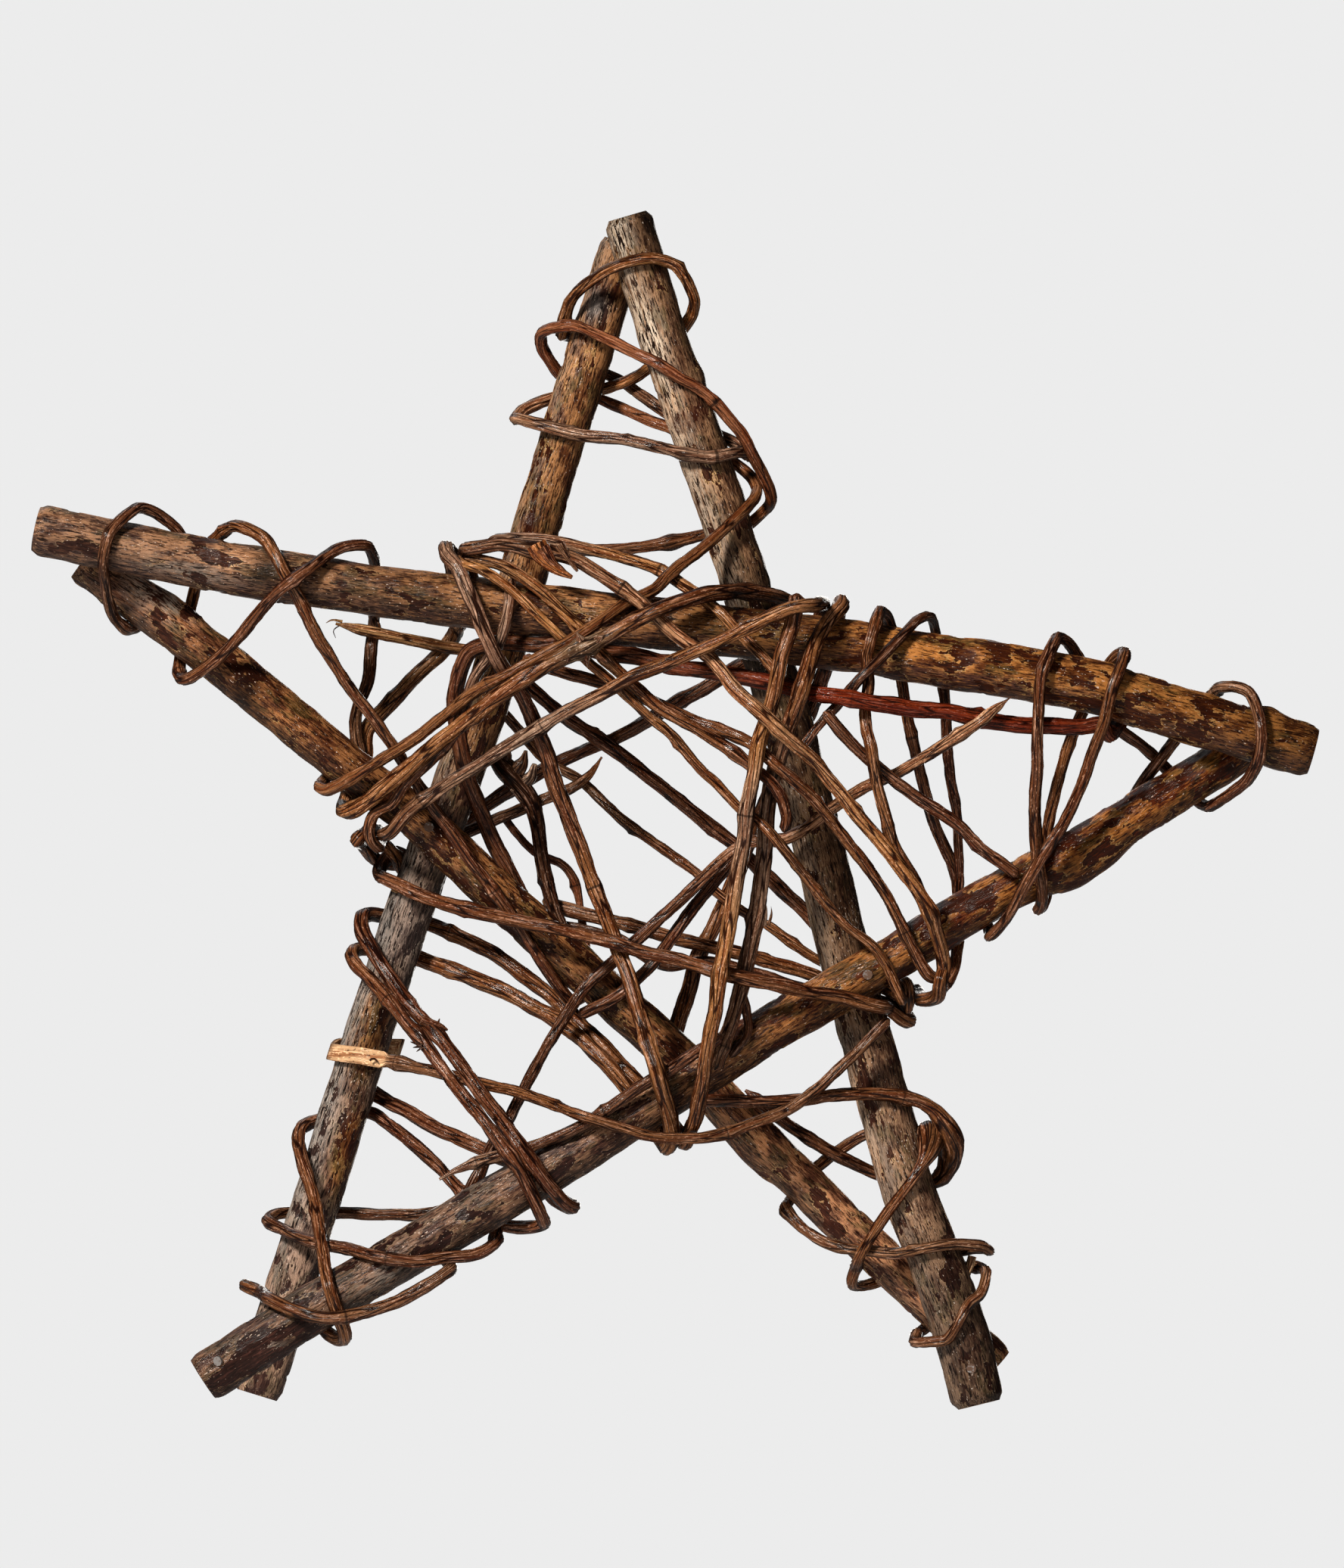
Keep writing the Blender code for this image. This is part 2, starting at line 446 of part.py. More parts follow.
def hook(stop, side, before, after, line, radius):
    """The stations of a vine that goes round the edge of a stick and so changes sides.

    It follows a circle round the stick, pitched so that it joins the places before and after it.
    """
    top, offset, stick_radius = seen_from(line, on_star(stop.x, stop.y))
    clear = (stick_radius + radius + GAP) / cos(radians(HOOK_ANGLES[1] / 2))
    reach = clear + stop.slack * UNIT
    edge = np.sign(offset)
    found = {}
    for turn, neighbour in ((-1, before), (1, after)):
        travel, offset, _ = seen_from(line, neighbour)
        inward = edge * offset / reach
        whole = np.arccos(min(inward, 1)) if inward > 0 else pi / 2 - inward
        for angle in HOOK_ANGLES:
            if angle and radians(angle) > HOOK_SHARE * whole:
                continue
            pitch = (travel - top) * radians(angle) / whole if angle else 0
            place, depth = beside(line, top + pitch, edge * reach * cos(radians(angle)))
            depth -= turn * side * clear * sin(radians(angle))
            found[turn * angle] = (place, -side if turn * angle >= 0 else side, depth)
    return [found[angle] for angle in sorted(found)]


def wound(vine, sticks):
    """The samples along a vine: rows of X, Z, side, rank, and the depth where a hook sets it."""
    thickness, side, stops = vine
    rank = 0
    ranked = []
    for stop in stops:
        if isinstance(stop, Lay):
            rank = stop.rank
        else:
            ranked.append((stop, rank))
    places = [on_star(stop[0], stop[1]) for stop, _ in ranked]
    stations = []
    for i, (stop, rank) in enumerate(ranked):
        if isinstance(stop, Round):
            before, after = max(i - 1, 0), min(i + 1, len(places) - 1)
            stick = sticks[stop.stick]
            turned_here = hook(stop, side, places[before], places[after], stick, thickness / 2)
            for place, side_here, depth in turned_here:
                rank_here = rank if side_here == side else ranked[after][1]
                stations.append((*place, side_here, rank_here, depth))
            side = -side
        else:
            if isinstance(stop, Through):
                side = -side
            stations.append((*places[i], side, rank, np.nan))
    stations = np.array(stations)
    flat, after = curve_through(stations[:, :2], STEP)
    depths = np.where(np.concatenate([[True], np.diff(after) > 0]), stations[after, 4], np.nan)
    return np.column_stack([flat, stations[after, 2:4], depths])


def pressed_depths(samples, firsts, radii, sticks):
    """The depth of every sample, with each vine pulled tight over the sticks and over the vines inside it.

    Every vine keeps its way on the drawing. Its depth is smoothed and pressed towards the sticks again and
    again, and after each time it is lifted back over what it has to clear.
    """
    places, sides, ranks, hooked = samples[:, :2], samples[:, 2], samples[:, 3], samples[:, 4]
    held = ~np.isnan(hooked)
    count = len(places)
    floor = np.full(count, -np.inf)
    for line in sticks.values():
        apart, seen = nearest_on(places, line)
        clear = seen[:, 4] + radii + GAP
        over = apart < clear
        lift = sides * seen[:, 2] + np.sqrt(np.maximum(clear ** 2 - apart ** 2, 0))
        floor = np.where(over, np.maximum(floor, lift), floor)
    ways = np.concatenate([travelled(places[a:b]) for a, b in zip(firsts, firsts[1:])])
    vine_of = np.repeat(np.arange(len(firsts) - 1), np.diff(firsts))
    order = ranks * count + np.arange(count)
    upper, lower, shares, lifts = [], [], [], []
    for a, b in zip(firsts, firsts[1:]):
        for c, d in zip(firsts, firsts[1:]):
            apart, share = from_parts(places[a:b], places[c:d])
            reach = radii[a] + radii[c] + GAP
            i, j = np.nonzero(apart < reach)
            share, apart = share[i, j], apart[i, j]
            i, j = i + a, j + c
            other_side = sides[i] != sides[j]
            outside = other_side | (order[i] > order[j])
            apart_on_vine = (vine_of[i] != vine_of[j]) | (np.abs(ways[i] - ways[j]) > OWN_STRETCH * reach)
            keep = outside & apart_on_vine & ~held[i]
            upper.append(i[keep])
            lower.append(j[keep])
            shares.append(share[keep])
            lifts.append(np.sqrt(reach ** 2 - apart[keep] ** 2))
    upper, lower, shares, lifts = map(np.concatenate, (upper, lower, shares, lifts))
    sure = sides[upper] != sides[lower]
    turned = [(lower + k) * count + upper - m for k in (0, 1) for m in (0, 1)]
    agreed = sure | ~np.isin(upper * count + lower, np.concatenate(turned)[np.tile(~sure, 4)])
    upper, lower, shares, lifts = upper[agreed], lower[agreed], shares[agreed], lifts[agreed]
    depths = np.where(held, hooked, np.where(np.isfinite(floor), sides * floor, np.nan))
    for a, b in zip(firsts, firsts[1:]):
        known = np.flatnonzero(~np.isnan(depths[a:b]))
        depths[a:b] = np.interp(ways[a:b], ways[a:b][known], depths[a:b][known])
    starts = np.isin(np.arange(count), firsts[:-1])
    ends = np.isin(np.arange(count) + 1, firsts[1:])
    before = np.where(starts, np.arange(count) + 1, np.arange(count) - 1)
    after = np.where(ends, np.arange(count) - 1, np.arange(count) + 1)
    near_before = np.abs(ways - ways[before])
    near_after = np.abs(ways[after] - ways)
    for _ in range(PRESSING_ROUNDS):
        smooth = (depths[before] * near_after + depths[after] * near_before) / (near_before + near_after)
        pressed = np.where(held, hooked, smooth - sides * PRESS)
        height = np.maximum(sides * pressed, np.where(held, -np.inf, floor))
        below = depths[lower] * (1 - shares) + depths[lower + 1] * shares
        np.maximum.at(height, upper, sides[upper] * below + lifts)
        depths = sides * height
    return depths


def thinned(points, flatness):
    """The numbers of the points that a line needs to stay within a distance of all its points."""
    if len(points) < 3:
        return list(range(len(points)))
    chord = points[-1] - points[0]
    away = points - points[0]
    share = np.clip(away @ chord / max(chord @ chord, TINY), 0, 1)
    off = np.linalg.norm(away - share[:, None] * chord, axis=1)
    worst = int(off.argmax())
    if off[worst] < flatness:
        return [0, len(points) - 1]
    return thinned(points[:worst + 1], flatness)[:-1] + [
        worst + i for i in thinned(points[worst:], flatness)]


def closest(p, q, r, s):
    """Where the parts p to q and r to s come closest, as shares of each, for many pairs at once."""
    d1, d2, w = q - p, s - r, p - r
    a, e, f = (d1 ** 2).sum(1), (d2 ** 2).sum(1), (d2 * w).sum(1)
    b, c = (d1 * d2).sum(1), (d1 * w).sum(1)
    spread = a * e - b * b
    parallel = spread <= TINY * a * e
    first = np.where(parallel, 0.5, np.clip((b * f - c * e) / np.where(parallel, 1, spread), 0, 1))
    second = np.clip((b * first + f) / e, 0, 1)
    first = np.clip((b * second - c) / a, 0, 1)
    return first, np.clip((b * first + f) / e, 0, 1)


def cleared(lines, radii, fixed_lines, fixed_radii):
    """The vines' lines, moved apart and off the fixed lines wherever they come closer than the gap.

    Each line has its radius at each of its points.
    """
    everything = lines + fixed_lines
    firsts = np.cumsum([0] + [len(line) for line in everything])
    points = np.vstack(everything)
    loose = np.arange(len(points)) < firsts[len(lines)]
    thick = np.concatenate(radii + fixed_radii)
    line_of = np.repeat(np.arange(len(everything)), np.diff(firsts))
    ways = np.concatenate([travelled(line) for line in everything])
    heads = np.delete(np.arange(len(points)), firsts[1:] - 1)
    sizes = np.linalg.norm(points[heads + 1] - points[heads], axis=1)
    pairs = None
    for turn in range(CLEARING_ROUNDS):
        if turn % PAIRING_ROUNDS == 0:
            pairs = neighbours(points, heads, sizes, thick, loose, line_of, ways)
        i, j, reach = pairs
        share_i, share_j = closest(points[i], points[i + 1], points[j], points[j + 1])
        here = points[i] * (1 - share_i)[:, None] + points[i + 1] * share_i[:, None]
        there = points[j] * (1 - share_j)[:, None] + points[j + 1] * share_j[:, None]
        away = here - there
        apart = np.maximum(np.linalg.norm(away, axis=1), TINY)
        short = reach - apart
        hit = short > 0
        if not hit.any():
            break
        i, j, share_i, share_j = i[hit], j[hit], share_i[hit], share_j[hit]
        push = (away[hit] / apart[hit][:, None]) * short[hit][:, None]
        rows = np.concatenate([i, i + 1, j, j + 1])
        shares = np.concatenate([1 - share_i, share_i, -(1 - share_j), -share_j]) * loose[rows]
        whole = (shares ** 2).reshape(4, -1).sum(0)
        moves = np.tile(push / whole[:, None], (4, 1)) * shares[:, None]
        total = np.zeros_like(points)
        weight = np.zeros(len(points))
        np.add.at(total, rows, moves * np.abs(shares)[:, None])
        np.add.at(weight, rows, np.abs(shares))
        points = points + EAGERNESS * total / np.maximum(weight, TINY)[:, None]
    return [points[a:b] for a, b in zip(firsts, firsts[1:])][:len(lines)]


def neighbours(points, heads, sizes, thick, loose, line_of, ways):
    """The pairs of parts that may touch, and how far apart their centre lines have to be."""
    middles = (points[heads] + points[heads + 1]) / 2
    found = []
    for k, i in enumerate(heads):
        if not loose[i]:
            break
        reach = thick[i] + thick[heads[k + 1:]] + GAP
        apart = np.abs(middles[k + 1:] - middles[k]).max(1)
        near = apart < reach + NEARNESS + (sizes[k] + sizes[k + 1:]) / 2
        same = line_of[heads[k + 1:]] == line_of[i]
        near &= ~(same & (ways[heads[k + 1:]] - ways[i + 1] < OWN_NEIGHBOURS * reach))
        j = np.flatnonzero(near)
        found.append(np.column_stack([np.full(len(j), i), heads[k + 1:][j], reach[j]]))
    found = np.vstack(found)
    return found[:, 0].astype(int), found[:, 1].astype(int), found[:, 2]


def in_space(line):
    """Rows of X, Z and depth, as points in space."""
    return np.column_stack([line[:, 0], line[:, 2], line[:, 1]])


def material(name, finish):
    """A plain material of one colour, roughness and metallic value."""
    colour, roughness, metallic = finish
    made = bpy.data.materials.new(name)
    made.use_nodes = True
    shader = made.node_tree.nodes["Principled BSDF"]
    shader.inputs["Base Color"].default_value = (*colour, 1)
    shader.inputs["Roughness"].default_value = roughness
    shader.inputs["Metallic"].default_value = metallic
    made.diffuse_color = (*colour, 1)
    return made


def add_object(name, mesh_bm, finish):
    """One named object, shaded smooth except at its sharp edges."""
    mesh = bpy.data.meshes.new(name)
    bmesh.ops.recalc_face_normals(mesh_bm, faces=mesh_bm.faces)
    mesh_bm.to_mesh(mesh)
    mesh_bm.free()
    mesh.materials.append(material(name, finish))
    mesh.shade_smooth()
    mesh.set_sharp_from_angle(angle=SHARP)
    made = bpy.data.objects.new(name, mesh)
    bpy.context.scene.collection.objects.link(made)
    return made


def swept(points, wide, thick, sides, first_side):
    """A closed tube along a line of points: its half width and half thickness may change on the way."""
    made = bmesh.new()
    across = np.asarray(first_side, float)
    rings = []
    for i, point in enumerate(points):
        ahead = points[min(i + 1, len(points) - 1)] - point
        behind = point - points[max(i - 1, 0)]
        along = sum(step / np.linalg.norm(step) for step in (ahead, behind) if np.linalg.norm(step) > 0)
        along /= np.linalg.norm(along)
        across = across - along * (across @ along)
        across /= np.linalg.norm(across)
        up = np.cross(along, across)
        rings.append([
            made.verts.new(point + wide[i] * cos(angle) * across + thick[i] * sin(angle) * up)
            for angle in 2 * pi * np.arange(sides) / sides
        ])
    return joined(made, rings)


def joined(made, rings):
    """The rings' wall and the face at each of its ends."""
    for ring, following in zip(rings, rings[1:]):
        for k, corner in enumerate(ring):
            made.faces.new([ring[k - 1], corner, following[k], following[k - 1]])
    made.faces.new(rings[0])
    made.faces.new(rings[-1])
    return made


def turned(profile, start, along):
    """A closed round solid about an axis. Its profile is in pairs: how far along the axis, and the radius."""
    made = bmesh.new()
    across = np.cross(along, (0, 0, 1))
    across /= np.linalg.norm(across)
    up = np.cross(across, along)
    rings = []
    for way, radius in profile:
        rings.append([
            made.verts.new(start + way * along + radius * (cos(angle) * across + sin(angle) * up))
            for angle in 2 * pi * np.arange(NAIL_SIDES) / NAIL_SIDES
        ])
    return joined(made, rings)


def add_nail(name, nail, sticks):
    """A nail driven through one stick into the next, with its bore in both. It gives the line of its head."""
    front_stick, back_stick, head_drawn, point_drawn = nail
    place, point_place = on_star(*head_drawn), on_star(*point_drawn)
    foot = nearest_on(place[None], sticks[front_stick])[1][0]
    seat = np.array([place[0], foot[2] - foot[4] + NAIL_SINK, place[1]])
    aside = point_place - place
    along = np.array([aside[0], np.sqrt(NAIL_LENGTH ** 2 - aside @ aside), aside[1]]) / NAIL_LENGTH
    head, shank = NAIL_HEAD / 2, NAIL_SHANK / 2
    add_object(name, turned([
        (-NAIL_HEAD_THICKNESS, head), (0, head), (0, shank), (NAIL_LENGTH - NAIL_SHANK, shank),
        (NAIL_LENGTH, NAIL_POINT / 2),
    ], seat, along), STEEL)
    bore = add_object(name + "_bore", turned([
        (-2 * NAIL_HEAD, head + GAP), (GAP, head + GAP), (GAP, shank + GAP), (NAIL_LENGTH + GAP, shank + GAP),
    ], seat, along), STEEL)
    bore.hide_render = True
    bore.display_type = "WIRE"
    for stick in (front_stick, back_stick):
        cut = bpy.data.objects[stick].modifiers.new(name + "_bore", "BOOLEAN")
        cut.operation = "DIFFERENCE"
        cut.object = bore
    return np.array([seat - NAIL_HEAD_THICKNESS * along, seat])[:, [0, 2, 1]]


def with_points_at(line, ways):
    """The line with points added at the given distances along it."""
    known = travelled(line)
    wanted = np.union1d(known, [way for way in ways if NEARNESS < way < known[-1] - NEARNESS])
    return np.column_stack([np.interp(wanted, known, line[:, k]) for k in range(3)])


def build():
    """The whole star."""
    for old in list(bpy.data.objects):
        bpy.data.objects.remove(old)
    sticks = stacked_sticks()
    for name, line in sticks.items():
        add_object(name, swept(in_space(line), line[:, 4], line[:, 4], STICK_SIDES, (0, 1, 0)), BARK)
    nail_lines = [add_nail(name, nail, sticks) for name, nail in NAILS.items()]
    samples, firsts, radii = [], [0], []
    for name, vine in VINES.items():
        rows = wound(vine, sticks)
        samples.append(rows)
        firsts.append(firsts[-1] + len(rows))
        radii += [vine[0] / 2] * len(rows)
    samples, radii = np.vstack(samples), np.array(radii)
    depths = pressed_depths(samples, firsts, radii, sticks)
    lines, line_radii = [], []
    for a, b in zip(firsts, firsts[1:]):
        line = np.column_stack([samples[a:b, :2], depths[a:b]])
        kept = thinned(line, FLATNESS)
        lines.append(line[kept])
        line_radii.append(radii[a:b][kept])
    fixed = [line[:, :3] for line in sticks.values()] + nail_lines
    fixed_radii = [line[:, 4] for line in sticks.values()]
    fixed_radii += [np.full(len(line), NAIL_HEAD / 2) for line in nail_lines]
    lines = cleared(lines, line_radii, fixed, fixed_radii)
    for (name, (thickness, _, _)), line in zip(VINES.items(), lines):
        profile = PROFILES.get(name, [(0, thickness, thickness)])
        ways, wide, thick = np.array(profile).T
        line = with_points_at(line, ways)
        wide, thick = (np.interp(travelled(line), ways, size) / 2 for size in (wide, thick))
        ends = in_space(sticks[PROFILE_STICK])[[0, -1]]
        add_object(name, swept(in_space(line), wide, thick, VINE_SIDES, ends[1] - ends[0]), BARKS[name])


build()
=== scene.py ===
# %% [markdown]
# # A rustic star of sticks and grapevine
#
# Five unpeeled sticks are nailed together where they cross, and grapevine is wound from edge to edge over
# them, front and back. The construction is fixed already: where each stick and each vine runs, how thick it
# is and what it lies on. This lesson gives those plain solids the look of real wood: bark, ridges, knots,
# sawn ends, splinters and lacquer. We load the solids first.

import json
from math import cos, inf, pi, sin

import bmesh
import bpy
import numpy as np
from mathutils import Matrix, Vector
from numpy.linalg import norm


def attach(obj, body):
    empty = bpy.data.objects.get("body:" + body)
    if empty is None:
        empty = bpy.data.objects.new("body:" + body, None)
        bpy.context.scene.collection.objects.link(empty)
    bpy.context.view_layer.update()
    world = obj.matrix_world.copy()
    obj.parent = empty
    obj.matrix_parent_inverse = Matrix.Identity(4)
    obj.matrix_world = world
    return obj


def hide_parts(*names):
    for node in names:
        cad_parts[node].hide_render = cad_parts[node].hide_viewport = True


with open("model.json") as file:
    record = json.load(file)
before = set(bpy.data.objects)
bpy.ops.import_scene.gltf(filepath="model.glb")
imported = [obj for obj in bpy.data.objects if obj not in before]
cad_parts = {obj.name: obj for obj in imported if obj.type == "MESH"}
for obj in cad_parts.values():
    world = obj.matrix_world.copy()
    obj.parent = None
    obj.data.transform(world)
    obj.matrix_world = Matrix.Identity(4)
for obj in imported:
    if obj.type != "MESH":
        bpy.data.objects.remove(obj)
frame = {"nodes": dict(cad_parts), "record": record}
scene = bpy.context.scene
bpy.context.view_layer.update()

# %% [markdown]
# ## Places on the drawing
#
# The star was drawn flat from its front before it was built, and we still name places on it by that drawing:
# x to the right and y down, in drawing units of about 0.3 mm. The star's own origin is the crotch under the
# top crossing, so a small helper turns one into the other. Y is depth, and the front faces -Y. Small sizes
# in the tables are in millimetres, because they are easier to read than metres.

# %% Drawing units to metres
UNIT = 0.508 / 1698
CROTCH = (831, 425)
DRAWING_SIZE = (1776, 2072)
MM = 0.001


def on_star(x, y, depth=0.0):
    """The place in space of a point of the drawing."""
    return Vector(((x - CROTCH[0]) * UNIT, depth, (CROTCH[1] - y) * UNIT))


print("one drawing unit is", round(UNIT / MM, 4), "mm")

# %% [markdown]
# ## Camera
#
# A star on a wall is looked at squarely from the front. A long lens from far away keeps the sticks straight,
# as a careful catalogue picture does. We could also use an orthographic camera, but a long lens keeps a
# trace of perspective in the layers of vine. The view is centred on the middle of the drawing.

# %% Make the camera
CAMERA_DISTANCE = 6.0
SENSOR = 36.0
view_height = DRAWING_SIZE[1] * UNIT


def placed(name, data, location=(0, 0, 0)):
    """A new object in the scene."""
    made = bpy.data.objects.new(name, data)
    made.location = location
    scene.collection.objects.link(made)
    return made


camera_data = bpy.data.cameras.new("camera")
camera_data.sensor_width = SENSOR
camera_data.lens = SENSOR * CAMERA_DISTANCE / view_height
camera = placed("camera", camera_data, on_star(DRAWING_SIZE[0] / 2, DRAWING_SIZE[1] / 2, -CAMERA_DISTANCE))
camera.rotation_euler = (pi / 2, 0, 0)
scene.camera = camera
print("lens", round(camera_data.lens), "mm, height of the view", round(view_height, 3), "m")

# %% [markdown]
# ## A helper for node trees
#
# Materials and geometry trees are both made of nodes. Making a node, setting its properties and linking its
# inputs takes three kinds of line, so we wrap a tree in a small class that does all of it in one call. An
# input that is given another node's socket becomes a link, and any other value is set as it is. Sums, noise
# and the strips that bark splits into come up again and again, so they get calls of their own.

# %% Add nodes with one call


class Tree:
    """A node tree with short calls that add to it."""

    def __init__(self, tree):
        self.nodes, self.links = tree.nodes, tree.links

    def join(self, value, socket):
        """Links an input to a socket, or sets it to a value."""
        if isinstance(value, bpy.types.NodeSocket):
            self.links.new(value, socket)
        else:
            socket.default_value = value

    def add(self, kind, inputs=None, **settings):
        """A new node, with its settings made and its inputs set or linked."""
        made = self.nodes.new(kind)
        for name, value in settings.items():
            setattr(made, name, value)
        for name, value in (inputs or {}).items():
            self.join(value, made.inputs[name])
        return made

    def maths(self, operation, *values):
        """The result of one sum."""
        return self.add("ShaderNodeMath", dict(enumerate(values)), operation=operation).outputs[0]

    def vector(self, operation, *values, **named):
        """The results of one sum on vectors."""
        inputs = {**dict(enumerate(values)), **named}
        return self.add("ShaderNodeVectorMath", inputs, operation=operation).outputs

    def noise(self, spot, scale, detail, rough=0.5):
        """Noise on a vector."""
        inputs = {"Vector": spot, "Scale": scale, "Detail": detail, "Roughness": rough}
        return self.add("ShaderNodeTexNoise", inputs).outputs

    def strips(self, spot):
        """How far each place is from the edge of its strip of bark."""
        inputs = {"Vector": spot, "Scale": 1.0}
        return self.add("ShaderNodeTexVoronoi", inputs, feature="DISTANCE_TO_EDGE").outputs["Distance"]


# %% [markdown]
# ## Studio
#
# The picture has a plain pale ground and soft light from the upper left. The ground seen by the camera and
# the light given by the world are set apart, so that the ground can be nearly white without washing out the
# bark. A soft lamp gives the light its direction, a weak one fills the right side, and one from above and
# behind draws a thin edge. A last one stands straight behind the star: it lights the back for those who walk
# round it, and hardly touches what is seen from the front. The pale floor lies well below the star.

# %% World
GROUND_COLOUR = (0.839, 0.839, 0.839, 1)
SKY_COLOUR, SKY_STRENGTH = (1.0, 0.97, 0.95, 1), 0.07

scene.view_settings.view_transform = "Standard"
world = bpy.data.worlds.new("studio")
world.use_nodes = True
scene.world = world
studio = Tree(world.node_tree)
studio.nodes.clear()
ground, sky = (
    studio.add("ShaderNodeBackground", {"Color": colour, "Strength": strength}).outputs[0]
    for colour, strength in ((GROUND_COLOUR, 1.0), (SKY_COLOUR, SKY_STRENGTH)))
seen = studio.add("ShaderNodeLightPath").outputs["Is Camera Ray"]
either = studio.add("ShaderNodeMixShader", {0: seen, 1: sky, 2: ground}).outputs[0]
studio.add("ShaderNodeOutputWorld", {"Surface": either})
print("ground", GROUND_COLOUR[0], "sky", SKY_STRENGTH)

# %% Lamps and floor
FLOOR_HEIGHT, FLOOR_RADIUS, FLOOR_GREY = -0.75, 2.4, 0.65
LIT_PLACE = Vector((0.02, 0, -0.19))
# Soft square lamps: place, side in metres, power in watts and colour
LAMPS = {
    "key": ((-1.3, -2.1, 1.35), 0.5, 185, (1.0, 0.95, 0.88)),
    "fill": ((1.8, -2.2, -0.2), 1.6, 7, (1.0, 0.94, 0.90)),
    "edge": ((-0.6, 1.8, 1.2), 1.0, 16, (1.0, 1.0, 1.0)),
    "back": ((0.2, 3.2, -0.1), 1.2, 75, (1.0, 0.96, 0.91)),
}
for name, (place, side, power, colour) in LAMPS.items():
    data = bpy.data.lights.new(name, "AREA")
    data.size, data.energy, data.color = side, power, colour
    lamp = placed(name, data, place)
    lamp.rotation_euler = (LIT_PLACE - Vector(place)).to_track_quat("-Z", "Y").to_euler()

disc = bmesh.new()
bmesh.ops.create_circle(disc, cap_ends=True, segments=96, radius=FLOOR_RADIUS)
bmesh.ops.translate(disc, verts=disc.verts, vec=(0, 0, FLOOR_HEIGHT))
floor_data = bpy.data.meshes.new("floor")
disc.to_mesh(floor_data)
disc.free()
floor_paint = bpy.data.materials.new("floor_paint")
floor_paint.use_nodes = True
paint = floor_paint.node_tree.nodes["Principled BSDF"].inputs
paint["Base Color"].default_value = (FLOOR_GREY, FLOOR_GREY, FLOOR_GREY, 1)
paint["Roughness"].default_value = 0.9
floor_data.materials.append(floor_paint)
placed("floor", floor_data)
print("lamps:", list(LAMPS))

# %% [markdown]
# ## Reading a line back from a solid
#
# Each plain vine is a tube of five-cornered rings, and each plain stick a tube of ten. A new skin needs the
# line down the middle. We could type the routes again, but a line that is read from the solid stays right
# when the solid changes. For a vine we find one end face, and then walk from ring to ring over the edges:
# the corners that one step reaches are the next ring. A stick has nail holes in it, so we slice it instead.

# %% Walk along a vine
VINE_SIDES = 5
SAME_FACING = 0.9999


def merged(name):
    """A copy of a plain solid with its corners joined."""
    made = bmesh.new()
    made.from_mesh(frame["nodes"][name].data)
    bmesh.ops.remove_doubles(made, verts=made.verts, dist=1e-6)
    made.verts.ensure_lookup_table()
    made.verts.index_update()
    return made


def layers_from(corners):
    """The corners reached by each further step over the edges."""
    known, layers = set(corners), [list(corners)]
    while layers[-1]:
        following = {e.other_vert(v) for v in layers[-1] for e in v.link_edges} - known
        known |= following
        layers.append(sorted(following, key=lambda v: v.index))
    return layers[:-1]


def flat_corners(face):
    """The corners of the flat face that a triangle belongs to."""
    group, grown = {face}, True
    while grown:
        near = {g for f in group for e in f.edges for g in e.link_faces} - group
        joined = {g for g in near if g.normal @ face.normal > SAME_FACING}
        group |= joined
        grown = bool(joined)
    return sorted({v for f in group for v in f.verts}, key=lambda v: v.index)


def vine_rings(name):
    """The rings of a plain vine, as an array of rings of five places."""
    solid = merged(name)
    tip = layers_from([solid.verts[0]])[-1][0]
    for face in tip.link_faces:
        rings = layers_from(flat_corners(face))
        if all(len(ring) == VINE_SIDES for ring in rings):
            break
    else:
        raise ValueError(f"{name} has no end face to walk from")
    places = np.array([[v.co for v in ring] for ring in reversed(rings)])
    solid.free()
    return places


# %% Slice a stick
# How squarely an end face looks along its stick, and how deep a slanting end may be
CAP_FACING, CAP_DEPTH = 0.9, 0.008
SLICES = 16


def stick_ends(solid, axis):
    """The middles of the two sawn ends of a plain stick."""
    ends = []
    for way in (-1, 1):
        corners = {v for f in solid.faces if f.normal @ axis * way > CAP_FACING for v in f.verts}
        furthest = max(v.co @ axis * way for v in corners)
        ends.append(np.mean([v.co for v in corners if v.co @ axis * way > furthest - CAP_DEPTH], axis=0))
    return ends


def rim_at(solid, place, lengthwise):
    """The corners of a cut across a solid."""
    copy = solid.copy()
    everything = copy.verts[:] + copy.edges[:] + copy.faces[:]
    cut = bmesh.ops.bisect_plane(copy, geom=everything, plane_co=place, plane_no=lengthwise)
    rim = np.array([g.co for g in cut["geom_cut"] if isinstance(g, bmesh.types.BMVert)])
    copy.free()
    return rim


def stick_line(name):
    """The middle line of a plain stick, and its radius at each point."""
    solid = merged(name)
    places = np.array([v.co for v in solid.verts])
    lengthwise = np.linalg.svd(places - places.mean(0), full_matrices=False)[2][0]
    lengthwise *= -np.sign(lengthwise[2])
    ends = stick_ends(solid, Vector(lengthwise))
    sideways = np.cross(lengthwise, (0, 1, 0))
    sideways /= norm(sideways)
    outward = np.cross(lengthwise, sideways)
    middles, radii = [ends[0]], []
    for share in (np.arange(SLICES) + 1) / (SLICES + 1):
        place = ends[0] * (1 - share) + ends[1] * share
        rim = rim_at(solid, place, lengthwise)
        spans = [(rim - place) @ direction for direction in (sideways, outward)]
        shifts = [(span.max() + span.min()) / 2 for span in spans]
        middles.append(place + shifts[0] * sideways + shifts[1] * outward)
        radii.append(max(span.max() - span.min() for span in spans) / 2)
    solid.free()
    return np.array(middles + [ends[1]]), np.array(radii[:1] + radii + radii[-1:])


